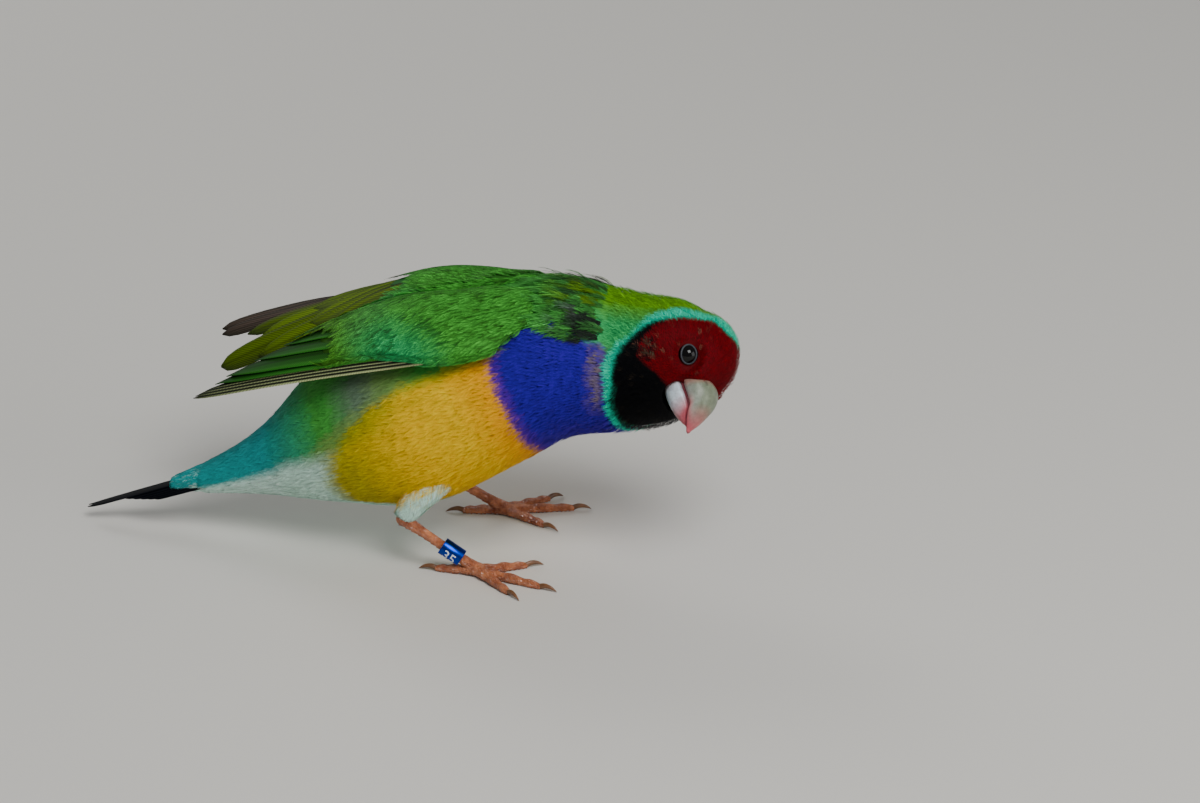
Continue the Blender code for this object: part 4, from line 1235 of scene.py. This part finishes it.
for name, side, heel, foot, turn in LEGS:
    heel, foot, way = shank_line(heel, foot)
    t = np.linspace(0, 1, 90)
    start, end = heel + way * 0.4, foot - way * 0.5
    wide = np.interp(t, *SHANK_MARKS.T)
    bm = loft(rings_along(start + (end - start) * t[:, None], wide, wide, ACROSS, 22, 0.2, 12))
    joint = bmesh.ops.create_uvsphere(bm, u_segments=24, v_segments=16, radius=HEEL_RADIUS / 1000)["verts"]
    bmesh.ops.translate(bm, verts=joint, vec=metres(heel + way * 0.5))
    shank = shown("shank_plates_" + name, bm, leg_skin)
    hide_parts("shank_" + name)
    bm = bmesh.new()
    bmesh.ops.create_uvsphere(bm, u_segments=28, v_segments=18, radius=1.0)
    bmesh.ops.scale(bm, vec=PALM, verts=bm.verts)
    bmesh.ops.translate(bm, verts=bm.verts, vec=foot + (0, 0, -0.05))
    for vert in bm.verts:
        vert.co = metres(vert.co)
    for toe, heading, length in TOES:
        angle = math.radians(turn + heading * side)
        ahead = np.array((math.cos(angle), math.sin(angle), 0))
        t = np.linspace(0, 1, 64)
        wide = line(TOE_MARKS[:, :2], t) * 0.85
        deep = line(TOE_MARKS[:, (0, 2)], t)
        centres = np.array((foot[0], foot[1], 0.0)) + ahead * (length * t)[:, None]
        centres[:, 2] = deep * 0.98 + (1 - t) * 0.35
        across = np.cross(ahead, (0, 0, 1))
        merge(bm, loft(rings_along(centres, wide * 1.08, deep, -across, 18, 0.3, int(length * 1.1))))
        s = np.linspace(0, 3, 18)
        bow = curve(CLAW_ARC, s)
        path = centres[-1] - ahead * 0.3 + ahead * bow[:, :1] + np.array((0, 0, 1.0)) * bow[:, 1:]
        thick = curve(CLAW_THICK, s)[:, 0]
        path[:, 2] = np.maximum(path[:, 2], thick + 0.02)
        nail = loft(rings_along(path, thick * 0.9, thick * 1.1, -across, 14))
        claw = shown("nail_%s_%s" % (name, toe), nail, claw_horn)
        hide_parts("claw_%s_%s" % (name, toe))
    for vert in bm.verts:
        vert.co.z = max(vert.co.z, 0.0)
    toes = shown("toes_" + name, bm, leg_skin)
    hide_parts("foot_" + name)


# Ring: a closed band of blue anodised aluminium round the right shank, with plain white digits.
anodised, _, _ = material("anodised_aluminium", "0836a8", Metallic=1.0, Roughness=0.28)
white_ink, _, _ = material("white_ink", "dfe8f2", Roughness=0.5)
RING_BORE, RING_OUTSIDE, RING_LENGTH = 1.3, 1.78, 4.6
heel, foot, way = shank_line(*LEGS[1][2:4])
start, end = heel + way * 1.15, foot - way * 1.75
middle = start + (end - start) * 0.72
turn = Vector((0, 0, 1)).rotation_difference(Vector(way)).to_matrix().to_4x4()
seat = Matrix.Translation(Vector(metres(middle))) @ turn
bm = bmesh.new()
profile = ((RING_BORE, -1), (RING_OUTSIDE, -1), (RING_OUTSIDE, 1), (RING_BORE, 1))
verts = [bm.verts.new(Vector((r, 0, RING_LENGTH / 2 * z)) / 1000) for r, z in profile]
edges = [bm.edges.new(pair) for pair in zip(verts, verts[1:] + verts[:1])]
bmesh.ops.spin(bm, geom=edges, cent=(0, 0, 0), axis=(0, 0, 1), angle=2 * math.pi, steps=72, use_merge=True)
bmesh.ops.remove_doubles(bm, verts=bm.verts, dist=1e-7)
bmesh.ops.recalc_face_normals(bm, faces=bm.faces)
bmesh.ops.transform(bm, matrix=seat, verts=bm.verts)
band = shown("ring_band", bm, anodised)
bevel = band.modifiers.new("rounded edges", "BEVEL")
bevel.width = 0.00008
bevel.segments = 2
bevel.limit_method = "ANGLE"
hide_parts("leg_ring")
text = bpy.data.curves.new("digits", "FONT")
text.body = "35"
text.size = 3.0
text.align_x = "CENTER"
text.align_y = "CENTER"
text.extrude = 0.02
letters = placed("digits", text)
mesh = bpy.data.meshes.new_from_object(letters.evaluated_get(bpy.context.evaluated_depsgraph_get()))
bpy.data.objects.remove(letters)
bm = bmesh.new()
bm.from_mesh(mesh)
bmesh.ops.subdivide_edges(bm, edges=[e for e in bm.edges if e.calc_length() > 0.3], cuts=2)
FACING = math.radians(-75)
INK_OVER = 0.015
for vert in bm.verts:
    x, y, z = vert.co
    angle = FACING - y / RING_OUTSIDE
    r = RING_OUTSIDE + INK_OVER + z
    vert.co = seat @ (Vector((r * math.cos(angle), r * math.sin(angle), x)) / 1000)
shown("ring_digits", bm, white_ink)


# Thighs: short feathered legs that come out of the belly, yellow above and white down to the heel.
def thigh_colour(points, grain):
    """Yellow where the thigh leaves the belly, then fluffy white."""
    middle, wide, deep = (np.interp(points[:, 0], along, part) for part in (height, half_width, half_depth))
    reach = np.hypot(points[:, 1] / wide, (points[:, 2] - middle) / deep)
    return mixed(flat(WHITE, points), YELLOW * 0.9, edge(1.08 - reach + grain * 0.1, 0.05))


for name, side, heel, _, _ in LEGS:
    stops = np.array(((-6.5, 8.2 * side, 23.5), (-10.8, 10.2 * side, 17.4), np.array(heel) + (0.5, 0, 0.0)))
    t = np.linspace(0, 2, 30)
    wide = curve(np.array((5.4, 3.6, 1.45)), t)[:, 0]
    rings = rings_along(curve(stops, t), wide, wide, ACROSS, 24)
    down = (stops[2] - stops[0]) / np.linalg.norm(stops[2] - stops[0])
    thigh = shown("thigh_skin_" + name, loft(rings), feather)
    undercoat(thigh.data, thigh_colour, 0.8)
    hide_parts("thigh_" + name)
    land = ground(thigh.data, combed(down))
    roots, normals = rooted(land, lambda spots, normal: normal @ down < 0.85, 0.7, 9000)
    size = np.interp(roots[:, 2], (11, 22), (2.8, 5.6)) * luck.normal(1, 0.12, len(roots))
    tufted(
        "coat_thigh_" + name, land, roots, normals, size, 0.3, 0.5, 24,
        (0.6, 0.97, 1.15), thigh_colour, 0.2, 0.14, 0.8,
    )


# Floor, light and camera: a pale studio table, a large soft light over the bird's right
# shoulder, a weaker one from the front and one from behind, and a long lens.
stand = bmesh.new()
bmesh.ops.create_grid(stand, x_segments=1, y_segments=1, size=3.0)
mesh = meshed("floor", stand)
floor = placed("floor", mesh)
floor_paint, _, _ = material("matt_floor_paint", "d9d6cf", Roughness=0.85)
mesh.materials.append(floor_paint)
AIM = (0, 0, 0.04)


def lamp(name, place, size, power):
    """A square soft light at a place in metres, turned to the bird."""
    data = bpy.data.lights.new(name, "AREA")
    data.size = size
    data.energy = power
    obj = placed(name, data)
    obj.location = place
    obj.rotation_euler = (Vector(AIM) - Vector(place)).to_track_quat("-Z", "Y").to_euler()


lamp("key", (0.3, -0.45, 0.7), 0.4, 5.4)
lamp("front", (0.8, -0.3, 0.25), 0.5, 1.8)
lamp("back", (-0.5, 0.6, 0.5), 0.4, 2)
world = bpy.data.worlds.new("studio")
bpy.context.scene.world = world
world.use_nodes = True
background = world.node_tree.nodes["Background"].inputs
background["Color"].default_value = (*linear("e8ecf0"), 1)
background["Strength"].default_value = 0.27

# The camera stands at the bird's right side, a little ahead and above, so many metres from a point
# in the trunk. That point stands at LOOKED_AT_PIXEL in an image of the size IMAGE.
AZIMUTH, ELEVATION = math.radians(10), math.radians(24)
DISTANCE = 1.14
LENS_PIXELS = 5700
IMAGE = (1200, 803)
LOOKED_AT = (-5, 0, 35)
LOOKED_AT_PIXEL = (462.4, 383.4)
SENSOR = 36
right = Vector((math.cos(AZIMUTH), math.sin(AZIMUTH), 0))
level = math.cos(ELEVATION)
back = Vector((math.sin(AZIMUTH) * level, -math.cos(AZIMUTH) * level, math.sin(ELEVATION)))
up = back.cross(right)
place = Vector(metres(LOOKED_AT)) + back * DISTANCE
aside, above = ((IMAGE[i] / 2 - LOOKED_AT_PIXEL[i]) / LENS_PIXELS for i in (0, 1))
data = bpy.data.cameras.new("camera")
data.sensor_width = SENSOR
data.lens = LENS_PIXELS / IMAGE[0] * SENSOR
camera = placed("camera", data)
camera.location = place
camera.rotation_euler = (right * aside - up * above - back).to_track_quat("-Z", "Y").to_euler()
bpy.context.scene.camera = camera
